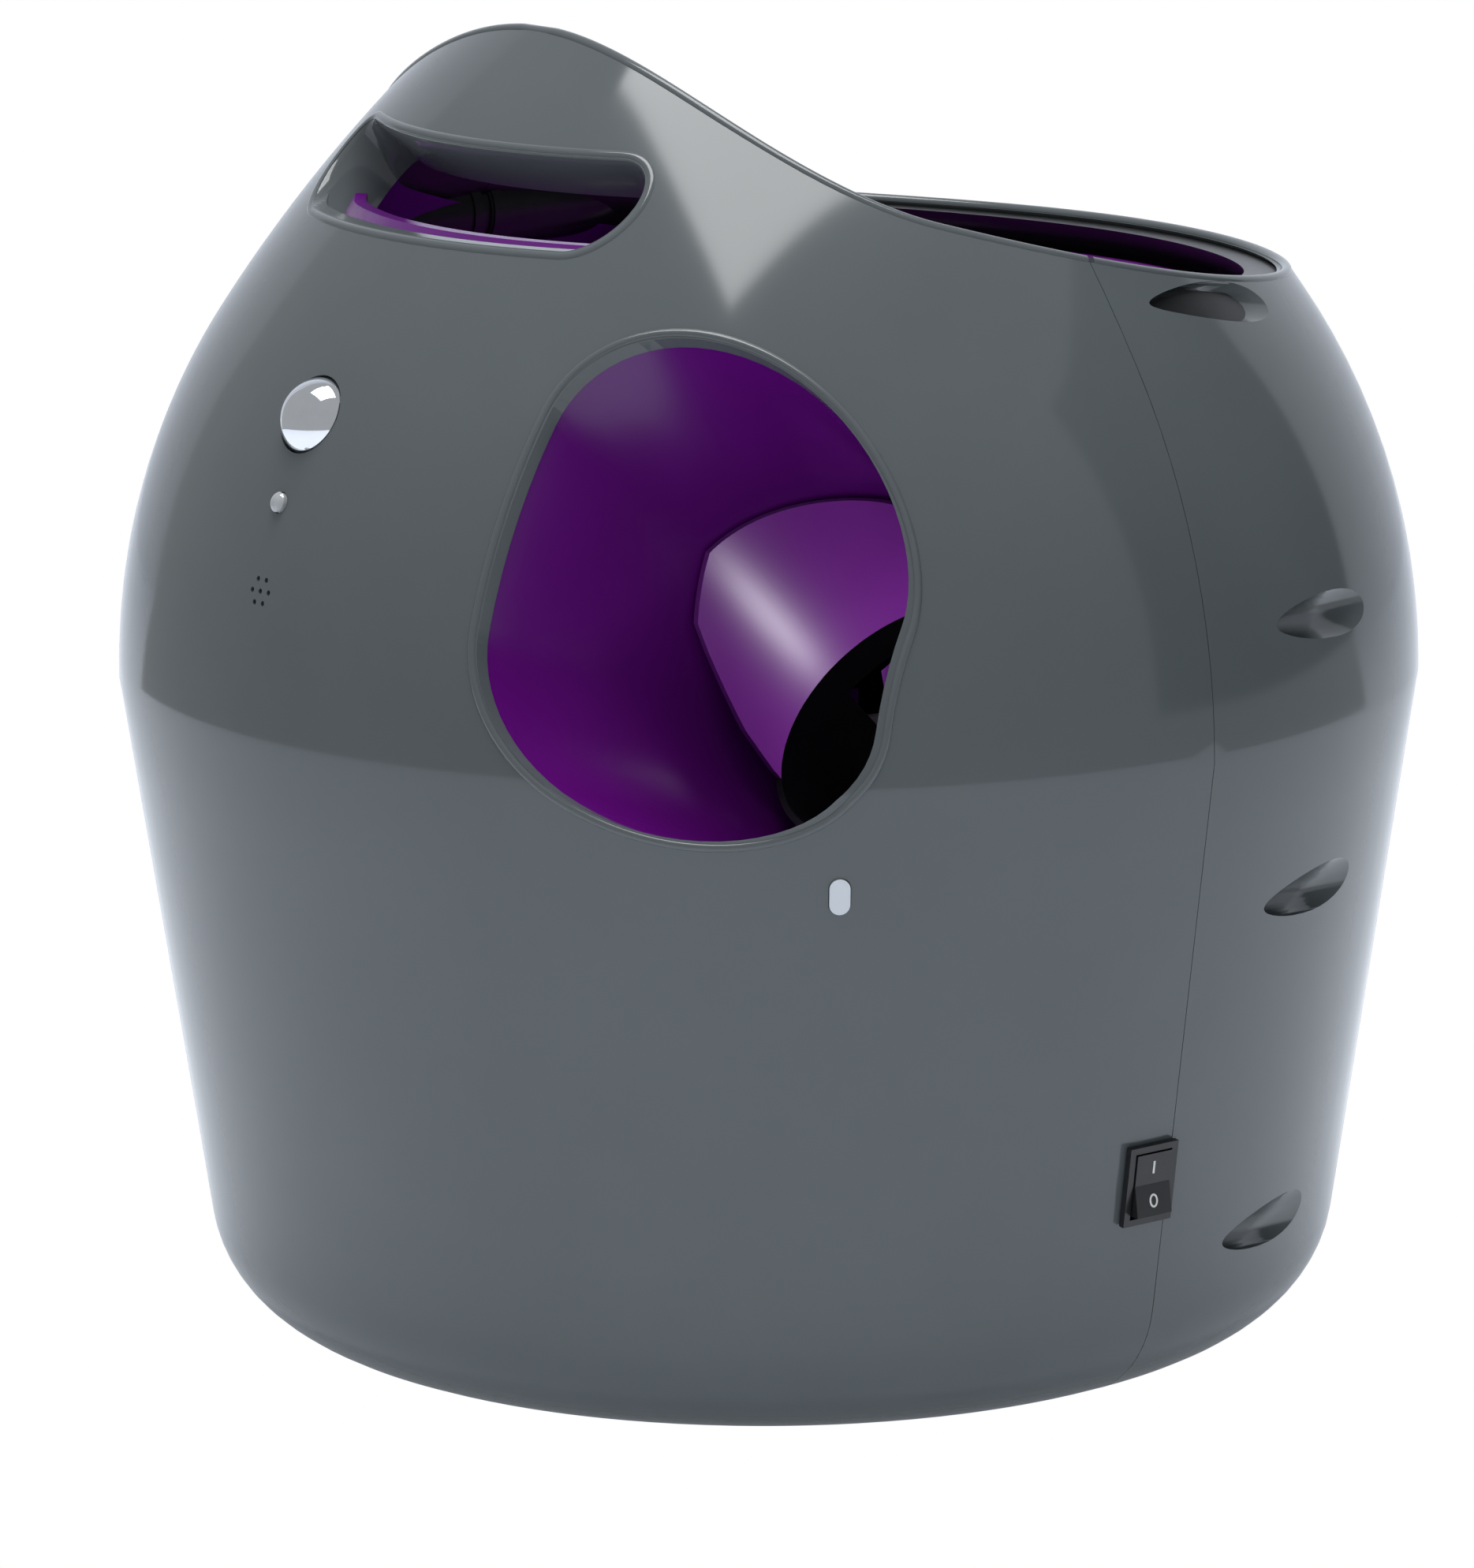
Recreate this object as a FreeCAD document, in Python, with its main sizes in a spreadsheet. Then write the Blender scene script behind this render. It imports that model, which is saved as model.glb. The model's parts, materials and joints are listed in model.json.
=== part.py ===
import FreeCAD, Part
import math
import os
import re
import Sketcher

# Automatic ball launcher for dogs. The front, where the ball leaves, is -Y.
# The launch port and the power switch are on the +X side. The floor is z = 0.

os.makedirs("parts", exist_ok=True)
doc = FreeCAD.newDocument("ball_launcher")
Vector = FreeCAD.Vector
Rotation = FreeCAD.Rotation
Placement = FreeCAD.Placement
AXIS_X = Vector(1, 0, 0)
AXIS_Y = Vector(0, 1, 0)
AXIS_Z = Vector(0, 0, 1)

SIZES = {
    # Outer form, a body of revolution that rests on four feet
    "foot_height": 3,
    "base_radius": 140.2,
    "corner_radius": 32,
    "belly_radius": 165,
    "belly_height": 170.5,
    "dome_lower_radius": 168,
    "dome_turn": 33.4,
    "dome_upper_radius": 390,
    "dome_end_turn": 52,
    "shell_wall": 3,
    "seam_gap": 0.2,
    "seat_gap": 0.2,
    "running_gap": 0.05,
    # Rim of the hopper mouth, one long sweep that bends up into the handle
    "rim_sweep_radius": 600,
    "rim_low_y": 146.4,
    "rim_low_height": 97.8,
    "rim_bend_radius": 54,
    "handle_back": 73,
    # Handle slot
    "slot_half_length": 58.5,
    "slot_bottom": 121.5,
    "slot_height": 20.3,
    "slot_inner_limit": 60,
    # Collar and hopper bowl
    "collar_depth": 12,
    "collar_thickness": 7,
    "collar_top_drop": 1,
    "bowl_gap": 6,
    "bowl_wall": 2.5,
    "bowl_floor_height": 69.5,
    "bowl_floor_slope": 0.09,
    "chute_x": 86,
    "chute_y": 18,
    "chute_bore": 36,
    "chute_wall": 2,
    "chute_end_height": 36.5,
    "chute_end_y": 12,
    # Launch barrel, which tilts about its trunnions
    "pivot_x": 103.5,
    "pivot_y": 35.7,
    "pivot_height": -2.3,
    "tilt_low": 20,
    "tilt_high": 45,
    "port_radius": 36.6,
    "liner_bore": 37.2,
    "liner_wall": 2,
    "barrel_bore": 34.6,
    "hood_wall": 1.6,
    "hood_start": 14,
    "hood_reach": 64.8,
    "hood_clear": 1,
    "breech_wall": 3,
    "breech_front": 20,
    "breech_end": 72,
    "breech_back_wall": 3,
    "window_floor": 8,
    "window_front": 5,
    "trunnion_radius": 5,
    "trunnion_length": 8,
    "ear_width": 17,
    "ear_height": 18,
    "ear_thickness": 5,
    # Striker, its spring and rack
    "guide_bore": 22,
    "guide_wall": 2.5,
    "guide_end": 120.5,
    "cap_thickness": 3,
    "striker_radius": 20,
    "striker_face": 68.5,
    "striker_head": 7,
    "pad_radius": 15,
    "pad_thickness": 3,
    "stroke": 28,
    "leg_half_width": 4,
    "leg_length": 6,
    "slot_clear": 3,
    "spring_radius": 18,
    "spring_wire": 3,
    "rack_half_width": 5,
    "rack_pitch_drop": 48,
    "rack_end": 118,
    "rack_module": 2,
    # Winding gear train
    "winder_back": 104,
    "winder_drop": 72,
    "sector_teeth": 24,
    "sector_kept_teeth": 6,
    "wheel_module": 1,
    "wheel_teeth": 50,
    "pinion_teeth": 10,
    "wheel_start": 6.5,
    "wheel_width": 6,
    "axle_radius": 3,
    "shaft_radius": 1.5,
    "plate_offset": 17.5,
    "plate_thickness": 3,
    "cover_offset": 15.5,
    "gearbox_front": 55,
    "gearbox_back": 138,
    "gearbox_bottom": 80,
    "post_radius": 3,
    "motor_radius": 14,
    "motor_length": 38,
    # Tilt drive, from the angle dial to a crown of teeth beside the barrel
    "crown_radius": 65,
    "crown_width": 3,
    "crown_plate": 3,
    "crown_tooth": 2,
    "crown_offset": 49,
    "crown_from": 10,
    "crown_to": 55,
    "dial_pinion_radius": 7.5,
    "dial_pinion_teeth": 12,
    "dial_offset": 46,
    # Dials in flat round pockets on the back
    "dial_height": -2.3,
    "dial_radius": 22,
    "dial_depth": 13,
    "dial_grip_radius": 2,
    "dial_grips": 18,
    "pocket_radius": 25,
    "pocket_wall": 2,
    "pocket_floor": 143,
    "dial_shaft_radius": 4,
    "bearing_length": 40,
    "switch_can": 20,
    # Feed gate below the hopper
    "gate_y": 60,
    "gate_height": 45.5,
    "gate_arm_length": 18,
    "gate_arm_width": 8,
    "gate_arm_thickness": 3,
    "gate_shaft_radius": 2.5,
    "gate_ear": 3.5,
    "servo_length": 18,
    "servo_size": 19.4,
    # Battery bay
    "bay_half_width": 54,
    "bay_half_length": 65,
    "bay_height": 42,
    "bay_wall": 2,
    "base_opening": 90,
    "base_flange": 97,
    "base_thickness": 3,
    "cell_diameter": 34.2,
    "cell_length": 61.5,
    "cell_gap": 0.5,
    "door_thickness": 2.5,
    "door_clear": 0.5,
    "door_hinge_inset": 2,
    "door_tab_place": 29,
    "door_tab_half": 5,
    "door_pin_end": 45,
    "hinge_radius": 1.5,
    "knuckle_place": 40,
    "knuckle_half": 4,
    "knuckle_height": 5,
    "contact_width": 12,
    "contact_height": 16,
    "cell_cap_radius": 4.75,
    "cell_cap_rise": 1.5,
    # Electronics
    "board_thickness": 1.6,
    "board_height": 50,
    "board_left": 50,
    "board_right": 36,
    "board_half_length": 32,
    "board_margin": 8,
    "relay_length": 20,
    "relay_width": 16,
    "relay_height": 9,
    "chip_length": 14,
    "chip_width": 12,
    "chip_height": 4,
    "capacitor_radius": 5,
    "capacitor_height": 10,
    "post_size": 3,
    "speaker_radius": 14,
    "speaker_height": 39,
    "speaker_depth": 9,
    "speaker_hole_radius": 0.65,
    "speaker_hole_ring": 3.2,
    "lamp_height": 59.9,
    "lamp_radius": 2.5,
    "sensor_height": 80.5,
    "sensor_radius": 10,
    "sensor_tilt": 28,
    "sensor_board_width": 26,
    "sensor_board_length": 20,
    "lens_flange": 1.5,
    "side_lens_turn": 55.6,
    "side_lens_height": 146.5,
    "side_lens_radius": 2.5,
    "side_lens_rise": 4,
    "switch_turn": 87.3,
    "switch_height": 64.8,
    "switch_width": 15,
    "switch_length": 20.5,
    "switch_depth": 20,
    "bezel_thickness": 1.6,
    "rocker_half_length": 7.8,
    "rocker_half_width": 5.4,
    "rocker_travel": 16,
    "rocker_well_depth": 5,
    "rocker_pin_radius": 1,
    "jack_height": 45,
    "jack_radius": 6,
    "jack_bore": 2.75,
    "jack_length": 16,
    "jack_flange": 2.5,
    "jack_end_wall": 4,
    "jack_pin_radius": 1,
    # Case screws in deep wells down both sides
    "well_radius": 5.75,
    "well_wall": 2,
    "well_inset": 7.7,
    "well_floor": 12,
    "well_length": 62,
    "screw_head_radius": 3.6,
    "screw_head_height": 2.8,
    "screw_radius": 1.5,
    "screw_length": 22,
    "screw_clearance": 0.3,
    "cross_length": 3.2,
    "cross_width": 0.9,
    "cross_depth": 1.2,
    "well_height_one": 43.3,
    "well_height_two": 130.3,
    "well_height_three": 28.5,
    "well_height_four": 102,
    # Feet
    "foot_radius": 4.5,
    "base_screw_circle": 93.4,
    "base_screw_turn": 30,
    "base_screw_head_radius": 2.8,
    "foot_circle": 103,
    "foot_edge": 0.8,
}

# These heights are given above the belly line, so all that sits up there moves with it
ABOVE_BELLY = (
    "rim_low_height", "slot_bottom", "bowl_floor_height", "chute_end_height", "pivot_height",
    "dial_height", "gate_height", "speaker_height", "lamp_height", "sensor_height",
    "well_height_three", "well_height_four",
)

sheet = doc.addObject("Spreadsheet::Sheet", "Sizes")
for row, (alias, value) in enumerate(SIZES.items(), 1):
    sheet.set(f"A{row}", alias)
    sheet.set(f"B{row}", f"=belly_height + ({value})" if alias in ABOVE_BELLY else str(value))
    sheet.setAlias(f"B{row}", alias)
doc.recompute()


class Millimetres:
    """The sheet's values, read back by name for the shapes that are worked out here."""

    def __getattr__(self, alias):
        return float(getattr(sheet, alias))


mm = Millimetres()


def bind(item, prop, text):
    """Tie a property to the sheet; the text uses the aliases as plain words."""
    item.setExpression(prop, re.sub(r"[a-z]+_[a-z_]+", r"Sizes.\g<0>", str(text)))


def box(name, x, y, z):
    """A block between two limits along each axis, each limit an expression."""
    item = doc.addObject("Part::Box", name)
    for side, corner, (low, high) in zip(("Length", "Width", "Height"), "xyz", (x, y, z)):
        bind(item, side, f"({high}) - ({low})")
        bind(item, f".Placement.Base.{corner}", low)
    return item


TURNS = {
    "X": Rotation(AXIS_Y, 90),
    "Y": Rotation(AXIS_X, -90),
    "Z": Rotation(AXIS_Z, 0),
}


def rod(name, axis, centre, span, radius):
    """A round bar along an axis; centre gives the other two coordinates in x, y, z order."""
    item = doc.addObject("Part::Cylinder", name)
    item.Placement = Placement(Vector(0, 0, 0), TURNS[axis])
    bind(item, "Radius", radius)
    bind(item, "Height", f"({span[1]}) - ({span[0]})")
    bind(item, f".Placement.Base.{axis.lower()}", span[0])
    others = [corner for corner in "xyz" if corner != axis.lower()]
    for corner, text in zip(others, centre):
        bind(item, f".Placement.Base.{corner}", text)
    return item


def fuse(name, *items):
    item = doc.addObject("Part::MultiFuse", name)
    item.Shapes = list(items)
    return item


def common(name, *items):
    item = doc.addObject("Part::MultiCommon", name)
    item.Shapes = list(items)
    return item


def cut(name, base, *tools):
    item = doc.addObject("Part::Cut", name)
    item.Base = base
    item.Tool = tools[0] if len(tools) == 1 else fuse(name + "_tools", *tools)
    return item


def solid(name, shape):
    """A shape worked out from the sheet's values."""
    item = doc.addObject("Part::Feature", name)
    item.Shape = shape
    return item


pieces = []


def piece(label, item, placement=None):
    """Give a finished piece its name, and its place where it is modelled elsewhere."""
    item.Label = label
    if placement is not None:
        item.Placement = placement.multiply(item.Placement)
    pieces.append(item)
    return item


def face_of(points):
    """A flat face through corner points; a corner given as a triple's middle makes an arc."""
    edges = []
    last = points[0]
    for step in points[1:]:
        if isinstance(step, tuple):
            middle, end = step
            edges.append(Part.Arc(last, middle, end).toShape())
            last = end
        else:
            edges.append(Part.LineSegment(last, step).toShape())
            last = step
    if last.distanceToPoint(points[0]) > 1e-6:
        edges.append(Part.LineSegment(last, points[0]).toShape())
    return Part.Face(Part.Wire(edges))


# Outer form

side_slope = (mm.belly_radius - mm.base_radius) / (mm.belly_height - mm.foot_height)
side_length = math.hypot(1, side_slope)


def on_circle(radius, height, size, turn):
    angle = math.radians(turn)
    return Vector(radius + size * math.cos(angle), 0, height + size * math.sin(angle))


def body_solid(inset):
    """The whole body, all its walls moved inwards by the inset."""
    corner_height = mm.foot_height + mm.corner_radius
    corner_place = mm.base_radius + mm.corner_radius * (side_slope - side_length)
    size = mm.corner_radius - inset
    corner_turn = -math.degrees(math.atan(side_slope))
    corner_middle = (corner_turn - 90) / 2
    lower_place = mm.belly_radius - mm.dome_lower_radius
    lower_size = mm.dome_lower_radius - inset
    turn = math.radians(mm.dome_turn)
    back = mm.dome_lower_radius - mm.dome_upper_radius
    upper_place = lower_place + back * math.cos(turn)
    upper_height = mm.belly_height + back * math.sin(turn)
    upper_size = mm.dome_upper_radius - inset
    upper_middle = (mm.dome_turn + mm.dome_end_turn) / 2
    top = on_circle(upper_place, upper_height, upper_size, mm.dome_end_turn)
    outline = face_of([
        Vector(0, 0, mm.foot_height + inset),
        Vector(corner_place, 0, mm.foot_height + inset),
        (on_circle(corner_place, corner_height, size, corner_middle),
         on_circle(corner_place, corner_height, size, corner_turn)),
        Vector(mm.belly_radius - inset, 0, mm.belly_height),
        (on_circle(lower_place, mm.belly_height, lower_size, mm.dome_turn / 2),
         on_circle(lower_place, mm.belly_height, lower_size, mm.dome_turn)),
        (on_circle(upper_place, upper_height, upper_size, upper_middle), top),
        Vector(0, 0, top.z),
    ])
    return outline.revolve(Vector(0, 0, 0), AXIS_Z, 360)


def surface_radius(height):
    """Radius of the body's outside at a height above the floor."""
    if height < mm.belly_height:
        return mm.base_radius + side_slope * (height - mm.foot_height)
    turn = math.radians(mm.dome_turn)
    lower_place = mm.belly_radius - mm.dome_lower_radius
    rise = height - mm.belly_height
    if rise < mm.dome_lower_radius * math.sin(turn):
        return lower_place + math.sqrt(mm.dome_lower_radius ** 2 - rise ** 2)
    back = mm.dome_lower_radius - mm.dome_upper_radius
    place = lower_place + back * math.cos(turn)
    rise = height - mm.belly_height - back * math.sin(turn)
    return place + math.sqrt(mm.dome_upper_radius ** 2 - rise ** 2)


FAR = 2 * mm.belly_radius


def above_rim(drop):
    """Everything above the rim's side view, lowered by the drop."""
    sweep_height = mm.rim_low_height + mm.rim_sweep_radius
    bend_y = mm.rim_bend_radius - mm.handle_back
    between = mm.rim_sweep_radius - mm.rim_bend_radius
    bend_height = sweep_height - math.sqrt(between ** 2 - (bend_y - mm.rim_low_y) ** 2)
    meet = math.atan2(bend_height - sweep_height, bend_y - mm.rim_low_y)
    end = math.atan2(-1, (FAR / 2 - mm.rim_low_y) / mm.rim_sweep_radius)

    def on_sweep(angle):
        return Vector(0, mm.rim_low_y + mm.rim_sweep_radius * math.cos(angle),
                      sweep_height + mm.rim_sweep_radius * math.sin(angle))

    def on_bend(angle):
        return Vector(0, bend_y + mm.rim_bend_radius * math.cos(angle),
                      bend_height + mm.rim_bend_radius * math.sin(angle))

    outline = face_of([
        on_sweep(end),
        (on_sweep((end + meet) / 2), on_sweep(meet)),
        (on_bend((meet - math.pi) / 2), on_bend(-math.pi)),
        Vector(0, -mm.handle_back, bend_height + FAR),
        Vector(0, on_sweep(end).y, bend_height + FAR),
    ])
    outline.translate(Vector(-FAR, 0, -drop))
    return outline.extrude(Vector(2 * FAR, 0, 0))


body = solid("body", body_solid(0))
inside = solid("inside", body_solid(mm.shell_wall))
rim = solid("rim", above_rim(0))


# Barrel frame: the barrel is modelled level, pointing along -Y with its pivot at the origin

pivot = Vector(mm.pivot_x, -mm.pivot_y, mm.pivot_height)


def tilted(angle):
    return Placement(pivot, Rotation(AXIS_X, -angle))


rest = tilted(mm.tilt_high)


def fan(name, radius, back):
    """The space that a round barrel sweeps between its two tilts, as wide as the barrel."""
    shapes = []
    for angle in (mm.tilt_low, mm.tilt_high):
        bar = Part.makeCylinder(radius, FAR + back, Vector(0, back, 0), Vector(0, -1, 0))
        bar.Placement = tilted(angle)
        shapes.append(bar)
    low = math.radians(mm.tilt_low)
    high = math.radians(mm.tilt_high)
    for reach in (FAR, -back):
        if reach == 0:
            continue
        wedge = face_of([
            Vector(-radius, 0, 0),
            Vector(-radius, -reach * math.cos(low), reach * math.sin(low)),
            Vector(-radius, -reach * math.cos(high), reach * math.sin(high)),
        ]).extrude(Vector(2 * radius, 0, 0))
        wedge.translate(pivot)
        shapes.append(wedge)
    return solid(name, shapes[0].multiFuse(shapes[1:]))


# Shells

port = fan("port", mm.port_radius, 0)


def handle_slot(name, grow):
    """A slot with round ends that runs through the front wall."""
    half = mm.slot_height / 2
    ends = []
    span = (f"-{FAR}", "-slot_inner_limit")
    height = "slot_bottom + slot_height / 2"
    reach = "slot_half_length - slot_height / 2"
    for side, sign in (("left", "-"), ("right", "")):
        ends.append(rod(f"{name}_{side}", "Y", (f"{sign}({reach})", height), span,
                        f"slot_height / 2 + {grow}"))
    middle = box(f"{name}_middle", (f"-({reach})", reach), span,
                 (f"slot_bottom - {grow}", f"slot_bottom + slot_height + {grow}"))
    return fuse(name, middle, *ends)


slot = handle_slot("handle_slot", 0)
slot_in_bowl = handle_slot("handle_slot_in_bowl", mm.seat_gap)

well_places = []
for name in ("one", "two", "three", "four"):
    height = float(getattr(sheet, f"well_height_{name}"))
    place = surface_radius(height) - mm.well_inset
    for side in (-1, 1):
        well_places.append((side * place, height))


def along_y(name, radius, start, end, places):
    """Equal round bars along Y at a list of places."""
    shapes = [Part.makeCylinder(radius, end - start, Vector(x, start, z), AXIS_Y)
              for x, z in places]
    return solid(name, shapes[0].multiFuse(shapes[1:]))


def on_front(height, turn=0.0, tilt=0.0):
    """A place on the outside whose local +Z points out of the surface."""
    radius = surface_radius(height)
    angle = math.radians(turn)
    base = Vector(radius * math.sin(angle), -radius * math.cos(angle), height)
    face = Rotation(AXIS_Z, turn).multiply(Rotation(AXIS_X, 90 - tilt))
    return Placement(base, face)


def placed(shape, placement):
    copy = shape.copy()
    copy.Placement = placement.multiply(copy.Placement)
    return copy


def bar_out(radius, low, high):
    return Part.makeCylinder(radius, high - low, Vector(0, 0, low), AXIS_Z)


side_tilt = -math.degrees(math.atan(side_slope))
sensor_place = on_front(mm.sensor_height, 0, mm.sensor_tilt)
lamp_tilt = math.degrees(math.asin((mm.lamp_height - mm.belly_height) / mm.dome_lower_radius))
lamp_place = on_front(mm.lamp_height, 0, lamp_tilt)
side_lens_place = on_front(mm.side_lens_height, mm.side_lens_turn, side_tilt)
switch_place = on_front(mm.switch_height, mm.switch_turn, side_tilt)
WALL_REACH = 4 * mm.shell_wall


def oval(radius, rise, low, high):
    """A short upright oval bar along local +Z."""
    ends = []
    for side in (-1, 1):
        end = bar_out(radius, low, high)
        end.translate(Vector(0, side * rise / 2, 0))
        ends.append(end)
    middle = Part.makeBox(2 * radius, rise, high - low, Vector(-radius, -rise / 2, low))
    return middle.multiFuse(ends)


def block_out(width, length, low, high):
    return Part.makeBox(width, length, high - low, Vector(-width / 2, -length / 2, low))


switch_body_width = mm.switch_width - 2
switch_body_length = mm.switch_length - 2
front_openings = [
    placed(bar_out(mm.sensor_radius + mm.seat_gap, -WALL_REACH, WALL_REACH), sensor_place),
    placed(bar_out(mm.lamp_radius + mm.seat_gap, -WALL_REACH, WALL_REACH), lamp_place),
    placed(oval(mm.side_lens_radius + mm.seat_gap, mm.side_lens_rise, -WALL_REACH, WALL_REACH),
           side_lens_place),
    placed(block_out(switch_body_width + 2 * mm.seat_gap, switch_body_length + 2 * mm.seat_gap,
                     -WALL_REACH, WALL_REACH), switch_place),
]
speaker_surface = surface_radius(mm.speaker_height)
SPEAKER_HOLES = 6
for hole in range(SPEAKER_HOLES + 1):
    angle = 2 * math.pi * hole / SPEAKER_HOLES
    out = 0 if hole == SPEAKER_HOLES else mm.speaker_hole_ring
    place = Vector(out * math.cos(angle), -speaker_surface - WALL_REACH,
                   mm.speaker_height + out * math.sin(angle))
    front_openings.append(
        Part.makeCylinder(mm.speaker_hole_radius, 2 * WALL_REACH, place, AXIS_Y))
openings = solid("front_openings", front_openings[0].multiFuse(front_openings[1:]))

wall = cut("shell_wall_all_round", body, inside)
base_screw_places = []
for quarter in (-1, 1):
    for side in (-1, 1):
        angle = math.radians(90 + side * (90 - mm.base_screw_turn - 30))
        base_screw_places.append((mm.base_screw_circle * math.cos(angle),
                                  quarter * mm.base_screw_circle * math.sin(angle)))


def along_z(name, radius, start, end):
    """Equal upright round bars at the base screws' places."""
    shapes = [Part.makeCylinder(radius, end - start, Vector(x, y, start), AXIS_Z)
              for x, y in base_screw_places]
    return solid(name, shapes[0].multiFuse(shapes[1:]))


SCREW_SINK = 1.8
base_screw_holes = along_z("base_screw_holes", mm.screw_radius + mm.screw_clearance, 0,
                           mm.foot_height + 2 * mm.shell_wall)
base_screw_sinks = along_z("base_screw_sinks", mm.base_screw_head_radius + mm.seat_gap, 0,
                           mm.foot_height + SCREW_SINK)
base_hole = rod("base_hole", "Z", ("0", "0"), ("0", "foot_height + shell_wall + 1"), "base_opening")
front_half = box("front_half", (f"-{FAR}", FAR), (f"-{FAR}", "-seam_gap / 2"), ("0", 2 * FAR))
rear_half = box("rear_half", (f"-{FAR}", FAR), ("seam_gap / 2", FAR), ("0", 2 * FAR))

front_boss = along_y("front_screw_bosses", mm.well_radius, -mm.well_floor - mm.shell_wall,
                     -mm.seam_gap / 2, well_places)
front_pilot = along_y("front_screw_pilots", mm.screw_radius + mm.running_gap, -mm.well_floor - 1,
                      0, well_places)
speaker_seat_back = speaker_surface - mm.shell_wall - mm.speaker_depth
speaker_ring = cut(
    "speaker_ring",
    rod("speaker_ring_outer", "Y", ("0", "speaker_height"),
        (-speaker_surface, -speaker_seat_back + 1), "speaker_radius + 2"),
    rod("speaker_ring_inner", "Y", ("0", "speaker_height"),
        (-speaker_surface, -speaker_seat_back + 2), "speaker_radius + seat_gap"))
speaker_ring_part = common("speaker_ring_part", speaker_ring,
                           solid("inside_of_wall", body_solid(mm.shell_wall / 2)))
front_bosses = common("front_bosses", front_boss, body)
front_walls = fuse("front_walls", common("front_wall", wall, front_half), front_bosses,
                   speaker_ring_part)
piece("front_shell", cut("front_shell_cut", front_walls, rim, slot, port, base_hole, openings,
                         front_pilot, base_screw_holes, base_screw_sinks))

well_outer = along_y("well_walls", mm.well_radius + mm.well_wall, mm.seam_gap / 2,
                     mm.well_length + mm.well_wall, well_places)
well_bore = along_y("well_bores", mm.well_radius, mm.well_floor, FAR, well_places)
well_hole = along_y("well_holes", mm.screw_radius + mm.screw_clearance, 0, mm.well_floor + 1,
                    well_places)
dial_centres = [(-mm.dial_offset, mm.dial_height), (mm.dial_offset, mm.dial_height)]
pocket_outer = along_y("pocket_walls", mm.pocket_radius + mm.pocket_wall,
                       mm.pocket_floor - mm.pocket_wall, FAR / 2, dial_centres)
pocket_bore = along_y("pocket_bores", mm.pocket_radius, mm.pocket_floor, FAR, dial_centres)
bearing = rod("angle_bearing", "Y", ("dial_offset", "dial_height"),
              ("pocket_floor - bearing_length", "pocket_floor - 1"), "dial_shaft_radius + 2.5")
shaft_bores = along_y("dial_shaft_bores", mm.dial_shaft_radius + mm.running_gap,
                      mm.pocket_floor - mm.bearing_length - 1, mm.pocket_floor + 1, dial_centres)
jack_bore = rod("jack_opening", "Y", ("0", "jack_height"), ("belly_radius / 2", FAR),
                "jack_radius + seat_gap")
rear_bosses = common("rear_bosses", fuse("rear_boss_set", well_outer, pocket_outer), body)
rear_walls = fuse("rear_walls", common("rear_wall", wall, rear_half), rear_bosses, bearing)
piece("rear_shell", cut("rear_shell_cut", rear_walls, rim, well_bore, well_hole, pocket_bore,
                        shaft_bores, base_hole, jack_bore, base_screw_holes,
                        base_screw_sinks))


# Rolled collar round the hopper mouth, in two halves

collar_band = cut("collar_band", solid("collar_outer", body_solid(mm.shell_wall + mm.seat_gap)),
                  solid("collar_inner", body_solid(mm.shell_wall + mm.collar_thickness)))
rim_top = solid("rim_at_collar_top", above_rim(mm.collar_top_drop))
rim_low = solid("rim_at_collar_foot", above_rim(mm.collar_depth))
collar = cut("collar_all_round", common("collar_strip", collar_band, rim_low), rim_top,
             box("hump_above_collar", (f"-{FAR}", FAR), (f"-{FAR}", FAR),
                 ("slot_bottom + slot_height / 2", 2 * FAR)))
wells_in_collar = along_y("wells_in_collar", mm.well_radius + mm.well_wall + mm.seat_gap,
                          -mm.well_floor - mm.shell_wall - 1, mm.well_length + mm.shell_wall,
                          well_places)
for label, half in (("front_collar", front_half), ("rear_collar", rear_half)):
    piece(label, cut(label + "_cut", common(label + "_half", collar, half), wells_in_collar))


# Hopper bowl, with a floor that falls towards the feed chute

def above_floor(drop):
    """Everything above the bowl's sloping floor, lowered by the drop."""
    left = mm.bowl_floor_height + mm.bowl_floor_slope * FAR - drop
    right = mm.bowl_floor_height - mm.bowl_floor_slope * FAR - drop
    outline = face_of([Vector(-FAR, -FAR, left), Vector(FAR, -FAR, right),
                       Vector(FAR, -FAR, 2 * FAR), Vector(-FAR, -FAR, 2 * FAR)])
    return outline.extrude(Vector(0, 2 * FAR, 0))


bowl_inset = mm.shell_wall + mm.bowl_gap
bowl_rim = solid("rim_over_bowl", above_rim(mm.collar_depth + mm.seat_gap))
bowl_outside = common("bowl_outside", solid("bowl_outer", body_solid(bowl_inset)),
                      solid("above_bowl_underside", above_floor(mm.bowl_wall)))
bowl_inside = common("bowl_inside", solid("bowl_inner", body_solid(bowl_inset + mm.bowl_wall)),
                     solid("above_bowl_floor", above_floor(0)))
chute_top = mm.bowl_floor_height - mm.bowl_floor_slope * mm.chute_x
chute_end_x = mm.pivot_x


def chute_bar(radius, over):
    """A slanted round bar between the chute's two level ends, longer by over at each end."""
    top = Vector(mm.chute_x, mm.chute_y, chute_top)
    end = Vector(chute_end_x, mm.chute_end_y, mm.chute_end_height)
    step = (end - top) * (over / (chute_top - mm.chute_end_height))
    wires = []
    for centre in (top - step, end + step):
        circle = Part.Circle(centre, AXIS_Z, radius)
        wires.append(Part.Wire(circle.toShape()))
    return Part.makeLoft(wires, True, True)


LIP_ROOM = 8
bowl_hole = solid("bowl_hole", chute_bar(mm.chute_bore + mm.chute_wall + mm.seat_gap, LIP_ROOM))
bowl_port = fan("bowl_port", mm.liner_bore + mm.liner_wall + mm.seat_gap, 0)
piece("hopper_bowl", cut("hopper_bowl_cut", bowl_outside, bowl_inside, bowl_rim, bowl_hole,
                         slot_in_bowl, wells_in_collar, bowl_port))


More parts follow.
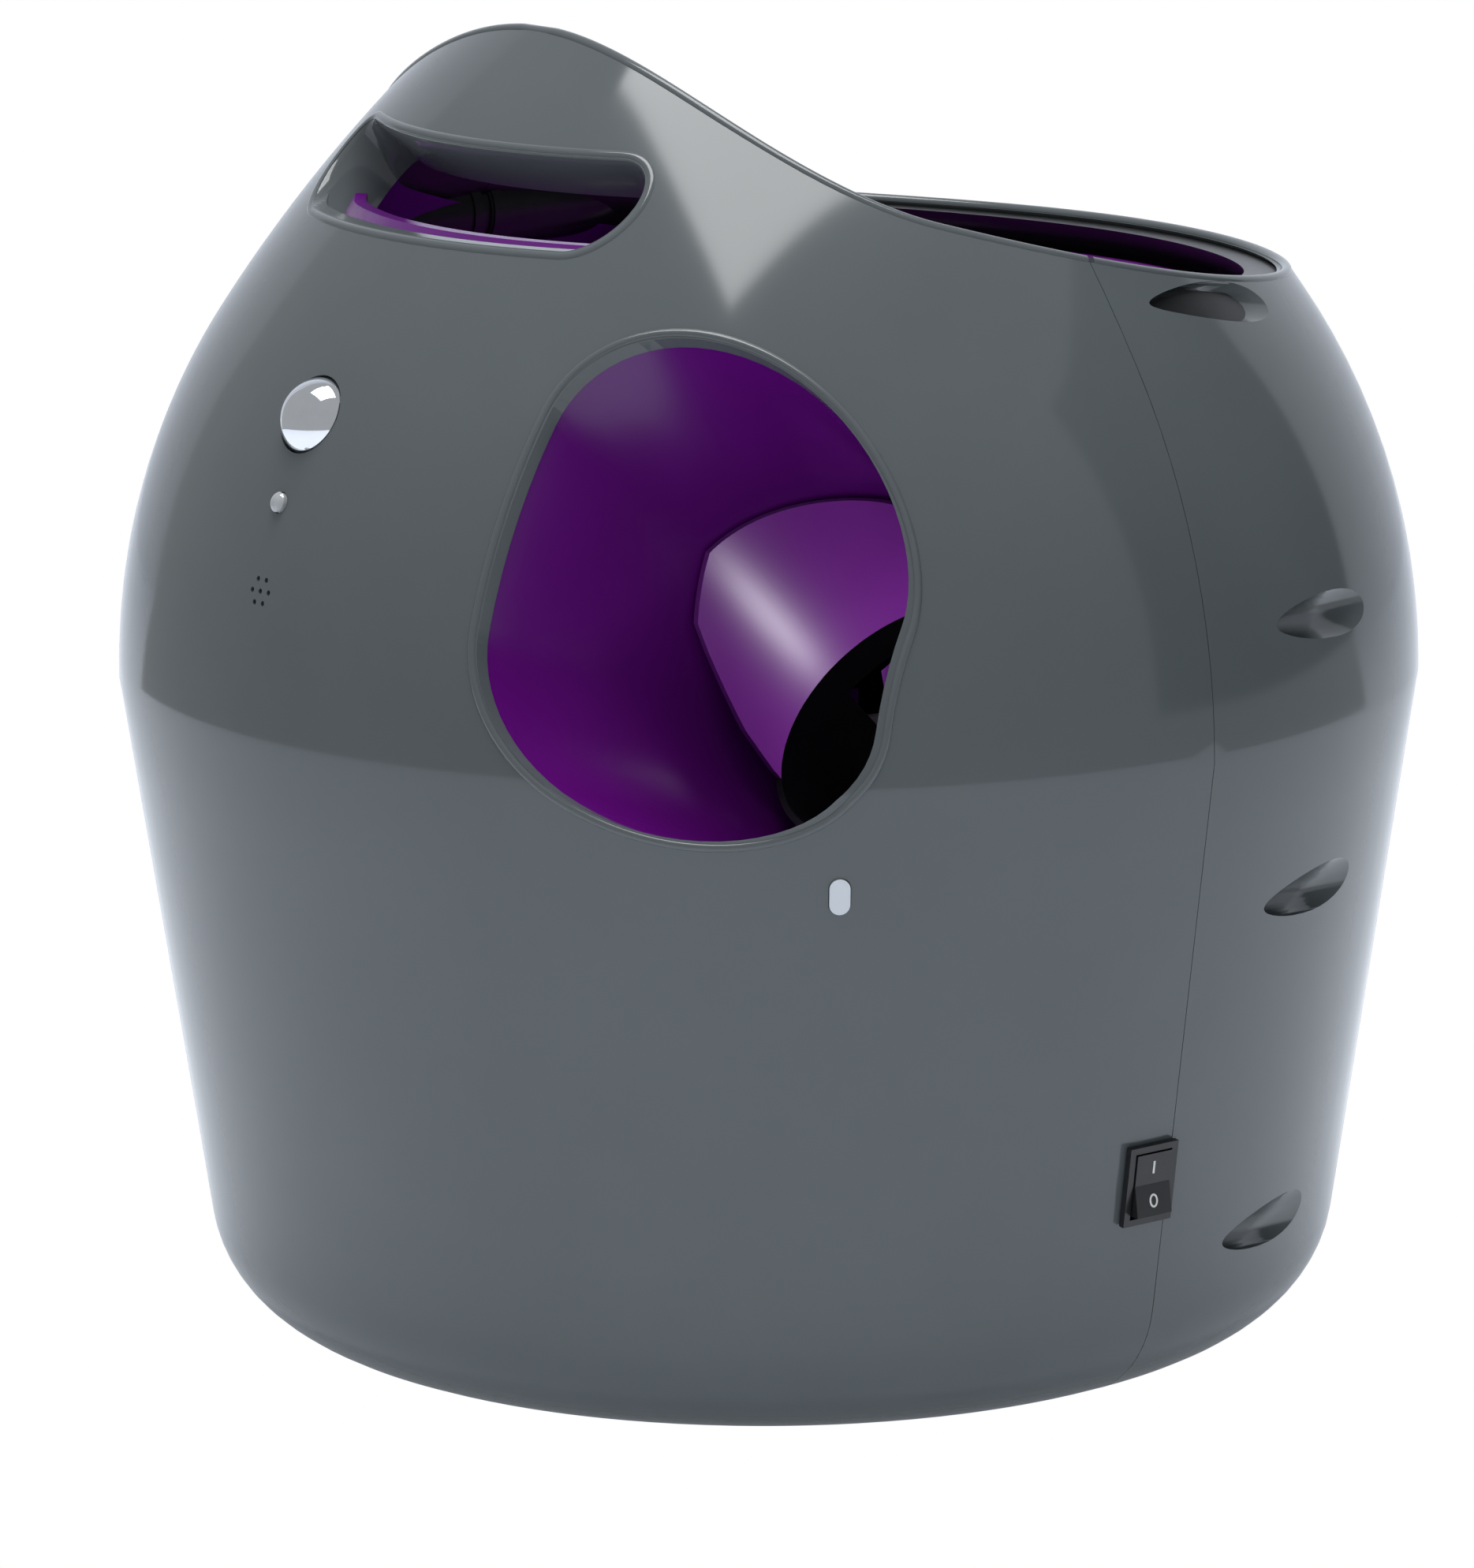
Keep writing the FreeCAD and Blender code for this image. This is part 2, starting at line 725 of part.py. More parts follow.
# Feed chute, from the bowl's hole down to the breech, with ears for the gate

ear_near = mm.gate_arm_width / 2 + mm.seat_gap
ear_far = ear_near + mm.gate_ear
gate_ears = []
for side in (-1, 1):
    start = chute_end_x + min(side * ear_near, side * ear_far)
    gate_ears.append(Part.makeBox(mm.gate_ear, mm.gate_y + mm.post_size * 2 - mm.chute_end_y,
                                  mm.gate_height + mm.post_size * 2 - mm.chute_end_height,
                                  Vector(start, mm.chute_end_y, mm.chute_end_height)))
chute_bore = chute_bar(mm.chute_bore, 2 * LIP_ROOM)
gate_window = Part.makeBox(2 * ear_near, mm.gate_y, mm.gate_height + mm.post_size
                           - mm.chute_end_height + 1,
                           Vector(chute_end_x - ear_near, mm.chute_y, mm.chute_end_height - 1))
gate_bore = Part.makeCylinder(mm.gate_shaft_radius + mm.running_gap, 2 * ear_far + 2,
                              Vector(chute_end_x - ear_far - 1, mm.gate_y, mm.gate_height), AXIS_X)
chute = chute_bar(mm.chute_bore + mm.chute_wall, LIP_ROOM).multiFuse(gate_ears)
below_chute = Part.makeBox(2 * FAR, 2 * FAR, mm.chute_end_height, Vector(-FAR, -FAR, 0))
barrel_room = fan("barrel_room", mm.barrel_bore + mm.breech_wall + mm.hood_clear,
                  mm.gearbox_back).Shape
chute = chute.cut([chute_bore, gate_window, gate_bore, above_floor(0), below_chute, barrel_room])
piece("feed_chute", solid("chute", chute))

gate_arm = fuse(
    "gate_arm",
    box("gate_blade", ("pivot_x - gate_arm_width / 2", "pivot_x + gate_arm_width / 2"),
        ("gate_y - gate_arm_length", "gate_y"),
        ("gate_height - gate_arm_thickness / 2", "gate_height + gate_arm_thickness / 2")),
    rod("gate_hub", "X", ("gate_y", "gate_height"),
        ("pivot_x - gate_arm_width / 2", "pivot_x + gate_arm_width / 2"), "gate_shaft_radius + 2"),
    rod("gate_shaft", "X", ("gate_y", "gate_height"),
        (chute_end_x - ear_far - 1, chute_end_x + ear_far + 1), "gate_shaft_radius"))
piece("feed_gate", gate_arm)
servo_start = chute_end_x + ear_far + mm.seat_gap
servo = cut(
    "servo",
    box("servo_case", (servo_start, f"{servo_start} + servo_length"),
        ("gate_y - servo_size / 2", "gate_y + servo_size / 2"),
        ("gate_height - servo_size / 2", "gate_height + servo_size / 2")),
    rod("servo_socket", "X", ("gate_y", "gate_height"), (servo_start - 1, servo_start + 2),
        "gate_shaft_radius + running_gap"))
piece("gate_motor", servo)


# Port liner, the fixed channel behind the port, with a bearing ear on each side

liner_outside = common("liner_outside", fan("liner_outer", mm.liner_bore + mm.liner_wall, 0),
                       solid("liner_limit", body_solid(mm.shell_wall + mm.seat_gap)),
                       box("liner_front", ("0", FAR), (f"-{FAR}", "-pivot_y"), ("0", 2 * FAR)))
ears = []
for name, start, end in (("left", "-liner_bore - ear_thickness - liner_wall", "-liner_bore"),
                         ("right", "liner_bore", "liner_bore + ear_thickness + liner_wall")):
    ears.append(box(f"{name}_ear", (f"pivot_x + {start}", f"pivot_x + {end}"),
                    ("-pivot_y - ear_width / 2", "-pivot_y + ear_width / 2"),
                    ("pivot_height - ear_height / 2", "pivot_height + ear_height / 2")))
liner_inner = fan("liner_inner", mm.liner_bore, mm.gearbox_back)
trunnion_bore = rod("trunnion_bore", "X", ("-pivot_y", "pivot_height"),
                    ("pivot_x - 2 * liner_bore", "pivot_x + 2 * liner_bore"),
                    "trunnion_radius + running_gap")
liner = cut("liner", fuse("liner_with_ears", liner_outside, *ears), liner_inner, trunnion_bore)
piece("port_liner", liner)


# Launch tube: the bright hood that shows in the port

hood_outer = mm.barrel_bore + mm.hood_wall
hood_tube = Part.makeCylinder(hood_outer, mm.hood_reach, Vector(0, -mm.hood_start, 0),
                              Vector(0, -1, 0))
hood_tube = hood_tube.cut(Part.makeCylinder(mm.barrel_bore, 2 * FAR, Vector(0, FAR, 0),
                                            Vector(0, -1, 0)))
# The hood's lower edge, as pairs of distance from the pivot and height above the axis
HOOD_EDGE = [(64.5, 6), (55.8, -9), (48.8, -12.5), (29.8, -21), (17.4, -23.4)]
hood_side = [Vector(-FAR, -s, v) for s, v in HOOD_EDGE]
hood_side.append(Vector(-FAR, -mm.hood_start, HOOD_EDGE[-1][1]))
hood_side.append(Vector(-FAR, -mm.hood_start, FAR))
hood_side.append(Vector(-FAR, -HOOD_EDGE[0][0], FAR))
hood = hood_tube.common(face_of(hood_side).extrude(Vector(2 * FAR, 0, 0)))
reach = Part.makeCylinder(mm.hood_reach, 2 * FAR, Vector(-FAR, 0, 0), AXIS_X)
hood = hood.common(reach)
for angle in (mm.tilt_low, mm.tilt_high):
    limit = placed(body_solid(mm.hood_clear), tilted(angle).inverse())
    hood = hood.common(limit)
piece("launch_tube", solid("hood", hood), rest)


# Breech: the black back half of the barrel, its trunnions, guide tube and gearbox plate

def level_bar(radius, front, back):
    """A round bar on the barrel's axis between two distances behind the pivot."""
    return Part.makeCylinder(radius, back - front, Vector(0, front, 0), AXIS_Y)


def level_block(left, right, front, back, low, high):
    return Part.makeBox(right - left, back - front, high - low, Vector(left, front, low))


breech_outer = mm.barrel_bore + mm.breech_wall
guide_outer = mm.guide_bore + mm.guide_wall
trunnion_end = mm.liner_bore + mm.liner_wall + mm.ear_thickness
breech = level_bar(hood_outer, -mm.hood_start, mm.breech_front)
breech = breech.fuse([
    level_bar(breech_outer, mm.breech_front, mm.breech_end + mm.breech_back_wall),
    level_bar(guide_outer, mm.breech_end, mm.guide_end),
    Part.makeCylinder(mm.trunnion_radius, 2 * trunnion_end, Vector(-trunnion_end, 0, 0), AXIS_X),
    level_block(-mm.plate_offset, -mm.plate_offset + mm.plate_thickness, mm.gearbox_front,
                mm.guide_end, -mm.gearbox_bottom, -mm.barrel_bore / 2),
    level_block(-mm.plate_offset, -mm.plate_offset + mm.plate_thickness, mm.gearbox_front,
                mm.gearbox_back, -mm.gearbox_bottom, -guide_outer - mm.seat_gap),
])
leg_room = mm.leg_half_width + mm.slot_clear
breech = breech.cut([
    level_bar(mm.barrel_bore, -mm.hood_start - 1, mm.breech_end),
    level_bar(mm.guide_bore, mm.breech_end - 1, mm.guide_end + 1),
    level_block(-FAR, FAR, -mm.window_front, mm.breech_end - 2, mm.window_floor, FAR),
    level_block(-leg_room, leg_room, mm.striker_face - mm.slot_clear,
                mm.striker_face + mm.striker_head + mm.stroke + mm.slot_clear, -FAR, 0),
])
winder_bore = Part.makeCylinder(mm.axle_radius + mm.running_gap, FAR,
                                Vector(-FAR / 2, mm.winder_back, -mm.winder_drop), AXIS_X)
gear_distance = mm.wheel_module * (mm.wheel_teeth + mm.pinion_teeth) / 2
motor_back = mm.winder_back - gear_distance
motor_hole = Part.makeCylinder(mm.shaft_radius + 2, FAR, Vector(-FAR / 2, motor_back,
                                                               -mm.winder_drop), AXIS_X)
breech = breech.cut([winder_bore, motor_hole])
piece("breech_tube", solid("breech", breech.removeSplitter()), rest)


# Striker, its rubber pad, the spring behind it and the cap that holds the spring

def rack_teeth():
    """Trapezoid rack teeth that point down, with a gap over the winding axle."""
    pitch = math.pi * mm.rack_module
    top = -mm.rack_pitch_drop + 1.3 * mm.rack_module
    tip = -mm.rack_pitch_drop - 0.9 * mm.rack_module
    root_half = 0.36 * pitch
    tip_half = 0.12 * pitch
    teeth = []
    steps = int((mm.rack_end - mm.striker_face) / pitch) + 1
    for step in range(-steps, steps):
        centre = mm.winder_back + (step + 0.5) * pitch
        if centre - root_half < mm.striker_face or centre + root_half > mm.rack_end:
            continue
        outline = face_of([Vector(-mm.rack_half_width, centre - root_half, top),
                           Vector(-mm.rack_half_width, centre - tip_half, tip),
                           Vector(-mm.rack_half_width, centre + tip_half, tip),
                           Vector(-mm.rack_half_width, centre + root_half, top)])
        teeth.append(outline.extrude(Vector(2 * mm.rack_half_width, 0, 0)))
    return teeth


rack_root = -mm.rack_pitch_drop + 1.3 * mm.rack_module
rack_top = -breech_outer - mm.seat_gap
head_back = mm.striker_face + mm.striker_head
striker = level_bar(mm.striker_radius, mm.striker_face, head_back)
striker = striker.fuse([
    level_block(-mm.leg_half_width, mm.leg_half_width, mm.striker_face,
                mm.striker_face + mm.leg_length, rack_root, 0),
    level_block(-mm.rack_half_width, mm.rack_half_width, mm.striker_face, mm.rack_end,
                rack_root, rack_top),
] + rack_teeth())
piece("striker", solid("striker_solid", striker.removeSplitter()), rest)
pad = level_bar(mm.pad_radius, mm.striker_face - mm.pad_thickness, mm.striker_face)
piece("striker_pad", solid("pad", pad), rest)
spring_front = head_back + mm.seat_gap
spring_end = mm.guide_end - mm.seat_gap
spring = level_bar(mm.spring_radius, spring_front, spring_end)
spring = spring.cut(level_bar(mm.spring_radius - mm.spring_wire, spring_front, spring_end))
piece("main_spring", solid("spring", spring), rest)
cap = level_bar(guide_outer, mm.guide_end, mm.guide_end + mm.cap_thickness)
cap = cap.cut(level_bar(mm.axle_radius, mm.guide_end, mm.guide_end + mm.cap_thickness))
piece("spring_cap", solid("cap", cap), rest)


# Gears: wheels with straight-flanked teeth, thinner than their gaps

def toothed(count, module, width, kept=None, root_factor=1.3):
    """A spur wheel about X, one tooth straight up; kept limits the teeth, going forwards."""
    pitch_radius = count * module / 2
    root = pitch_radius - root_factor * module
    tip = pitch_radius + 0.9 * module
    step = 2 * math.pi / count
    blank = Part.makeCylinder(root, width, Vector(0, 0, 0), AXIS_X)
    teeth = []
    for index in range(kept or count):
        middle = index * step
        corners = []
        for radius, half in ((root - module / 2, 0.33), (pitch_radius, 0.21), (tip, 0.1)):
            corners.append((radius, middle - half * step))
            corners.insert(0, (radius, middle + half * step))
        outline = face_of([Vector(0, -r * math.sin(a), r * math.cos(a)) for r, a in corners])
        teeth.append(outline.extrude(Vector(width, 0, 0)))
    return blank.multiFuse(teeth)


def at_axle(shape, left, back, turn=0.0):
    """Put a wheel on its axle, moved sideways and turned about it."""
    place = Placement(Vector(left, back, -mm.winder_drop), Rotation(AXIS_X, turn))
    return placed(shape, place)


sector = toothed(int(mm.sector_teeth), mm.rack_module, 2 * mm.rack_half_width,
                 int(mm.sector_kept_teeth))
bore = Part.makeCylinder(mm.axle_radius, FAR, Vector(-FAR / 2, 0, 0), AXIS_X)
piece("winding_sector", solid("sector", at_axle(sector.cut(bore), -mm.rack_half_width,
                                                mm.winder_back)), rest)
wheel = toothed(int(mm.wheel_teeth), mm.wheel_module, mm.wheel_width).cut(bore)
half_tooth = 180 / mm.wheel_teeth
wheel_turn = -90 + half_tooth
piece("winding_wheel", solid("wheel", at_axle(wheel, mm.wheel_start, mm.winder_back,
                                              wheel_turn)), rest)
axle_left = -mm.plate_offset - 1
axle_right = mm.cover_offset + mm.plate_thickness + 1
axle = Part.makeCylinder(mm.axle_radius, axle_right - axle_left, Vector(0, 0, 0), AXIS_X)
piece("winding_axle", solid("axle", at_axle(axle, axle_left, mm.winder_back)), rest)

pinion = toothed(int(mm.pinion_teeth), mm.wheel_module, mm.wheel_width)
motor_left = -mm.plate_offset - mm.motor_length
shaft = Part.makeCylinder(mm.shaft_radius, mm.wheel_start + mm.plate_offset
                          - mm.running_gap, Vector(0, 0, 0), AXIS_X)
pinion_set = at_axle(pinion, mm.wheel_start, motor_back, -90)
pinion_set = pinion_set.fuse(at_axle(shaft, -mm.plate_offset + mm.running_gap, motor_back))
piece("motor_pinion", solid("pinion", pinion_set), rest)
motor = Part.makeCylinder(mm.motor_radius, mm.motor_length - mm.seat_gap, Vector(0, 0, 0), AXIS_X)
motor = motor.fuse(Part.makeCylinder(mm.motor_radius / 3, mm.post_size,
                                     Vector(-mm.post_size, 0, 0), AXIS_X))
piece("drive_motor", solid("motor", at_axle(motor, motor_left, motor_back)), rest)

cover = level_block(mm.cover_offset, mm.cover_offset + mm.plate_thickness, mm.gearbox_front,
                    mm.gearbox_back, -mm.gearbox_bottom, -mm.barrel_bore)
post_left = -mm.plate_offset + mm.plate_thickness + mm.seat_gap
posts = []
post_low = -mm.gearbox_bottom + 2 * mm.post_radius
for back, low in ((mm.gearbox_front + mm.post_radius, post_low),
                  (mm.gearbox_back - mm.post_radius, post_low + 4 * mm.post_radius)):
    posts.append(Part.makeCylinder(mm.post_radius, mm.cover_offset - post_left,
                                   Vector(post_left, back, low), AXIS_X))
cover = cover.fuse(posts).cut(winder_bore)
piece("gearbox_cover", solid("cover", cover), rest)


# Tilt sector on the left trunnion, with crown teeth towards the angle dial

crown_left = -mm.crown_offset
teeth_left = crown_left - mm.crown_tooth


def ring_part(inner, outer, left, width, start, end):
    """A slice of a ring about X between two angles above the backward direction."""
    middle = (start + end) / 2

    def at(radius, angle):
        turn = math.radians(angle)
        return Vector(left, radius * math.cos(turn), radius * math.sin(turn))

    outline = face_of([at(inner, start), at(outer, start), (at(outer, middle), at(outer, end)),
                       at(inner, end), (at(inner, middle), at(inner, start))])
    return outline.extrude(Vector(width, 0, 0))


crown_inner = mm.crown_radius - mm.crown_width
crown_outer = mm.crown_radius + mm.crown_width
crown = ring_part(crown_inner - mm.crown_width, crown_outer, crown_left, mm.crown_plate,
                  mm.crown_from, mm.crown_to)
spokes = ring_part(mm.trunnion_radius, crown_inner, crown_left, mm.crown_plate,
                   (mm.crown_from + mm.crown_to) / 2 - 9, (mm.crown_from + mm.crown_to) / 2 + 9)
hub = Part.makeCylinder(2 * mm.trunnion_radius, mm.crown_plate, Vector(crown_left, 0, 0), AXIS_X)
boss = Part.makeCylinder(mm.trunnion_radius, mm.crown_offset - trunnion_end,
                         Vector(crown_left, 0, 0), AXIS_X)
tooth_step = math.degrees(2 * math.pi * mm.dial_pinion_radius
                          / (mm.dial_pinion_teeth * mm.crown_radius))
crown_teeth = []
first = -int((mm.tilt_high - mm.crown_from) / tooth_step)
last = int((mm.crown_to - mm.tilt_high) / tooth_step)
for index in range(first, last + 1):
    middle = mm.tilt_high + (index + 0.5) * tooth_step
    if middle + tooth_step / 2 > mm.crown_to:
        continue
    crown_teeth.append(ring_part(crown_inner, crown_outer, teeth_left, mm.crown_tooth + 0.5,
                                 middle - 0.16 * tooth_step, middle + 0.16 * tooth_step))
sector_shape = crown.fuse([spokes, hub, boss] + crown_teeth)
piece("tilt_sector", solid("tilt_sector_solid", sector_shape.removeSplitter()), rest)


# Dials on the back: the launch angle turns the crown, the distance turns a rotary switch

def dial_knob(name):
    """A round knob with finger grooves and a pointer rib, modelled standing up."""
    knob = doc.addObject("PartDesign::Body", name)
    plane = [entry for entry in knob.Origin.OriginFeatures if entry.Role == "XY_Plane"][0]
    disc = knob.newObject("Sketcher::SketchObject", name + "_disc")
    disc.AttachmentSupport = [(plane, "")]
    disc.MapMode = "FlatFace"
    disc.addGeometry(Part.Circle(Vector(0, 0, 0), AXIS_Z, mm.dial_radius), False)
    disc.addConstraint(Sketcher.Constraint("Coincident", 0, 3, -1, 1))
    disc.addConstraint(Sketcher.Constraint("Radius", 0, mm.dial_radius))
    disc.setExpression("Constraints[1]", "Sizes.dial_radius")
    pad = knob.newObject("PartDesign::Pad", name + "_pad")
    pad.Profile = disc
    bind(pad, "Length", "dial_depth")
    doc.recompute()
    groove = knob.newObject("Sketcher::SketchObject", name + "_groove")
    groove.AttachmentSupport = [(plane, "")]
    groove.MapMode = "FlatFace"
    groove.addGeometry(Part.Circle(Vector(mm.dial_radius, 0, 0), AXIS_Z, mm.dial_grip_radius), False)
    groove.addConstraint(Sketcher.Constraint("PointOnObject", 0, 3, -1))
    groove.addConstraint(Sketcher.Constraint("DistanceX", -1, 1, 0, 3, mm.dial_radius))
    groove.addConstraint(Sketcher.Constraint("Radius", 0, mm.dial_grip_radius))
    groove.setExpression("Constraints[1]", "Sizes.dial_radius + Sizes.dial_grip_radius / 2")
    groove.setExpression("Constraints[2]", "Sizes.dial_grip_radius")
    pocket = knob.newObject("PartDesign::Pocket", name + "_grip")
    pocket.Profile = groove
    pocket.Type = "ThroughAll"
    pocket.Reversed = True
    around = knob.newObject("PartDesign::PolarPattern", name + "_grips")
    around.Originals = [pocket]
    around.Axis = (groove, ["N_Axis"])
    around.Angle = 360
    bind(around, "Occurrences", "dial_grips")
    knob.Tip = around
    doc.recompute()
    return knob


on_back = Rotation(AXIS_X, -90)
knob_base = mm.pocket_floor + 2 * mm.seat_gap
for label, side in (("angle_dial", 1), ("distance_dial", -1)):
    place = Placement(Vector(side * mm.dial_offset, knob_base, mm.dial_height), on_back)
    piece(label, dial_knob(label + "_body"), place)

dial_pinion = Part.makeCylinder(mm.dial_pinion_radius - 1.2, 3, Vector(0, 0, 0), AXIS_Z)
dial_teeth = []
for index in range(int(mm.dial_pinion_teeth)):
    turn = 360 * index / mm.dial_pinion_teeth
    tooth = face_of([Vector(mm.dial_pinion_radius - 1.6, -0.9, 0),
                     Vector(mm.dial_pinion_radius + 0.9, -0.35, 0),
                     Vector(mm.dial_pinion_radius + 0.9, 0.35, 0),
                     Vector(mm.dial_pinion_radius - 1.6, 0.9, 0)]).extrude(Vector(0, 0, 3))
    tooth.rotate(Vector(0, 0, 0), AXIS_Z, turn)
    dial_teeth.append(tooth)
dial_pinion = dial_pinion.multiFuse(dial_teeth)
shaft_start = mm.crown_radius - mm.pivot_y - 1.5
shaft_length = knob_base - shaft_start
angle_shaft = dial_pinion.fuse(bar_out(mm.dial_shaft_radius, 0, shaft_length))
angle_shaft.rotate(Vector(0, 0, 0), AXIS_X, -90)
angle_shaft.translate(Vector(mm.dial_offset, shaft_start, mm.dial_height))
piece("angle_shaft", solid("angle_shaft_solid", angle_shaft))
distance_shaft = rod("distance_shaft_bar", "Y", ("-dial_offset", "dial_height"),
                     ("pocket_floor - pocket_wall - 2", knob_base), "dial_shaft_radius")
piece("distance_shaft", distance_shaft)
can_back = mm.pocket_floor - mm.pocket_wall - mm.seat_gap
distance_switch = cut(
    "distance_switch_can",
    box("switch_can_block", ("-dial_offset - switch_can / 2", "-dial_offset + switch_can / 2"),
        (f"{can_back} - switch_can / 2", can_back),
        ("dial_height - switch_can / 2", "dial_height + switch_can / 2")),
    rod("switch_can_bore", "Y", ("-dial_offset", "dial_height"), (can_back - 4, can_back + 1),
        "dial_shaft_radius + running_gap"))
piece("distance_switch", distance_switch)


# Base plate with its battery bay, the door and what the bay holds

bay = ("-bay_half_width", "bay_half_width"), ("-bay_half_length", "bay_half_length")
base_top = "foot_height + base_thickness"
bay_outer = box("bay_outer", ("-bay_half_width - bay_wall", "bay_half_width + bay_wall"),
                ("-bay_half_length - bay_wall", "bay_half_length + bay_wall"),
                ("foot_height", "bay_height + bay_wall"))
base_disc = rod("base_disc", "Z", ("0", "0"), ("foot_height", base_top), "base_opening - seat_gap")
base_ring = rod("base_ring", "Z", ("0", "0"), (f"{base_top} + seat_gap / 2",
                f"{base_top} + seat_gap / 2 + 2"), "base_flange")
base_neck = rod("base_neck", "Z", ("0", "0"), (base_top, f"{base_top} + seat_gap / 2"),
                "base_opening - seat_gap")
bay_room = box("bay_room", *bay, ("0", "bay_height"))
board_posts = []
for x in ("board_margin - board_left", "board_right - board_margin"):
    for y in ("board_margin - board_half_length", "board_half_length - board_margin"):
        board_posts.append(box(f"post_{len(board_posts)}", (f"{x} - post_size", f"{x} + post_size"),
                               (f"{y} - post_size", f"{y} + post_size"),
                               ("bay_height + bay_wall - 1", "board_height - seat_gap / 2")))
knuckles = []
for x in ("-knuckle_place", "knuckle_place"):
    knuckles.append(box(f"knuckle_{len(knuckles)}", (f"{x} - knuckle_half", f"{x} + knuckle_half"),
                        ("bay_half_length - door_hinge_inset - hinge_radius",
                         "bay_half_length + bay_wall / 2"),
                        ("foot_height + seat_gap", "foot_height + knuckle_height")))
door_axis = ("bay_half_length - door_hinge_inset", "foot_height + door_hinge_inset")
knuckle_bore = rod("knuckle_bore", "X", door_axis, ("-door_pin_end - 1", "door_pin_end + 1"),
                   "hinge_radius + running_gap")
base = cut("base", fuse("base_sum", base_disc, base_ring, base_neck, bay_outer, *board_posts),
           bay_room)
ring_pilots = along_z("ring_pilots", mm.screw_radius + mm.running_gap, mm.foot_height,
                      mm.foot_height + 4 * mm.base_thickness)
piece("base_plate", cut("base_plate_cut", fuse("base_with_knuckles", base, *knuckles),
                        knuckle_bore, ring_pilots))

door_panel = box("door_panel", ("-bay_half_width + door_clear", "bay_half_width - door_clear"),
                 ("-bay_half_length + door_clear",
                  "bay_half_length - door_hinge_inset - hinge_radius - 1"),
                 ("foot_height", "foot_height + door_thickness"))
door_tabs = []
for x in ("-door_tab_place", "door_tab_place"):
    door_tabs.append(box(f"door_tab_{len(door_tabs)}",
                         (f"{x} - door_tab_half", f"{x} + door_tab_half"),
                         ("bay_half_length - 3 * door_hinge_inset",
                          "bay_half_length - door_hinge_inset"),
                         ("foot_height", "foot_height + door_thickness")))
door_pins = []
for span in (("-door_pin_end", "door_tab_half - door_tab_place"),
             ("door_tab_place - door_tab_half", "door_pin_end")):
    door_pins.append(rod(f"door_pin_{len(door_pins)}", "X", door_axis, span, "hinge_radius"))
piece("battery_door", fuse("battery_door_sum", door_panel, *door_tabs, *door_pins))

cell_rise = mm.foot_height + mm.door_thickness + mm.cell_gap + mm.cell_diameter / 2
cell_count = 0
for row_y in (-1, 1):
    for column in (-1, 0, 1):
        cell_count += 1
        x = column * (mm.cell_diameter + mm.cell_gap)
        start = row_y * (mm.cell_length + mm.cell_gap) / 2 - mm.cell_length / 2
        can = Part.makeCylinder(mm.cell_diameter / 2, mm.cell_length - mm.cell_cap_rise,
                                Vector(x, start, cell_rise), AXIS_Y)
        cap_end = Part.makeCylinder(mm.cell_cap_radius, mm.cell_length,
                                    Vector(x, start, cell_rise), AXIS_Y)
        piece(f"battery_cell_{cell_count}", solid(f"cell_{cell_count}", can.fuse(cap_end)))

contact_shapes = []
for column in (-1, 0, 1):
    for side in (-1, 1):
        x = column * (mm.cell_diameter + mm.cell_gap)
        near = mm.cell_length + mm.cell_gap / 2 + mm.seat_gap
        start = near if side > 0 else -mm.bay_half_length + mm.seat_gap
        depth = mm.bay_half_length - mm.seat_gap - near
        contact_shapes.append(Part.makeBox(
            mm.contact_width, depth, mm.contact_height,
            Vector(x - mm.contact_width / 2, start, cell_rise - mm.contact_height / 2)))
piece("battery_contacts", solid("contacts", Part.makeCompound(contact_shapes)))

board = fuse(
    "board",
    box("board_panel", ("-board_left", "board_right"), ("-board_half_length", "board_half_length"),
        ("board_height", "board_height + board_thickness")),
    box("board_relay", ("-2 * relay_length", "-relay_length"), ("2 - relay_width", 2),
        ("board_height + board_thickness - 0.1", "board_height + relay_height")),
    box("board_chip", (0, "chip_length"), ("-chip_width / 2", "chip_width / 2"),
        ("board_height + board_thickness - 0.1", "board_height + chip_height")),
    rod("board_capacitor", "Z", ("-8", "20"),
        ("board_height + board_thickness - 0.1", "board_height + capacitor_height"),
        "capacitor_radius"))
piece("control_board", board)


# Small parts in the front and side walls

speaker_front = -(speaker_surface - mm.shell_wall - 4)
speaker = rod("speaker_can", "Y", ("0", "speaker_height"),
              (speaker_front, f"{speaker_front} + speaker_depth - 2"), "speaker_radius")
piece("speaker", speaker)

DOME_SIZE, DOME_SINK = 1.05, 0.45
dome = Part.makeSphere(DOME_SIZE * mm.sensor_radius, Vector(0, 0, -DOME_SINK * mm.sensor_radius))
dome = dome.common(bar_out(mm.sensor_radius, -mm.shell_wall - 1, WALL_REACH))
flange = bar_out(mm.sensor_radius + mm.lens_flange, -2 * mm.shell_wall, -mm.shell_wall - 1)
piece("motion_lens", solid("lens", dome.fuse(flange)), sensor_place)
board_front = -2 * mm.shell_wall - mm.seat_gap
sensor_board = block_out(mm.sensor_board_width, mm.sensor_board_length,
                         board_front - mm.board_thickness, board_front)
piece("sensor_board", solid("sensor_board_panel", sensor_board), sensor_place)
lamp = bar_out(mm.lamp_radius, -mm.shell_wall - 2, 0.3)
lamp = lamp.fuse(Part.makeSphere(mm.lamp_radius * 1.25, Vector(0, 0, -1)).common(
    bar_out(mm.lamp_radius, -1, mm.lamp_radius)))
piece("status_lens", solid("lamp", lamp.removeSplitter()), lamp_place)
side_lens = oval(mm.side_lens_radius, mm.side_lens_rise, -mm.shell_wall - 1.5, 0.5)
piece("side_lens", solid("side_lens_solid", side_lens.removeSplitter()), side_lens_place)


# Rocker switch

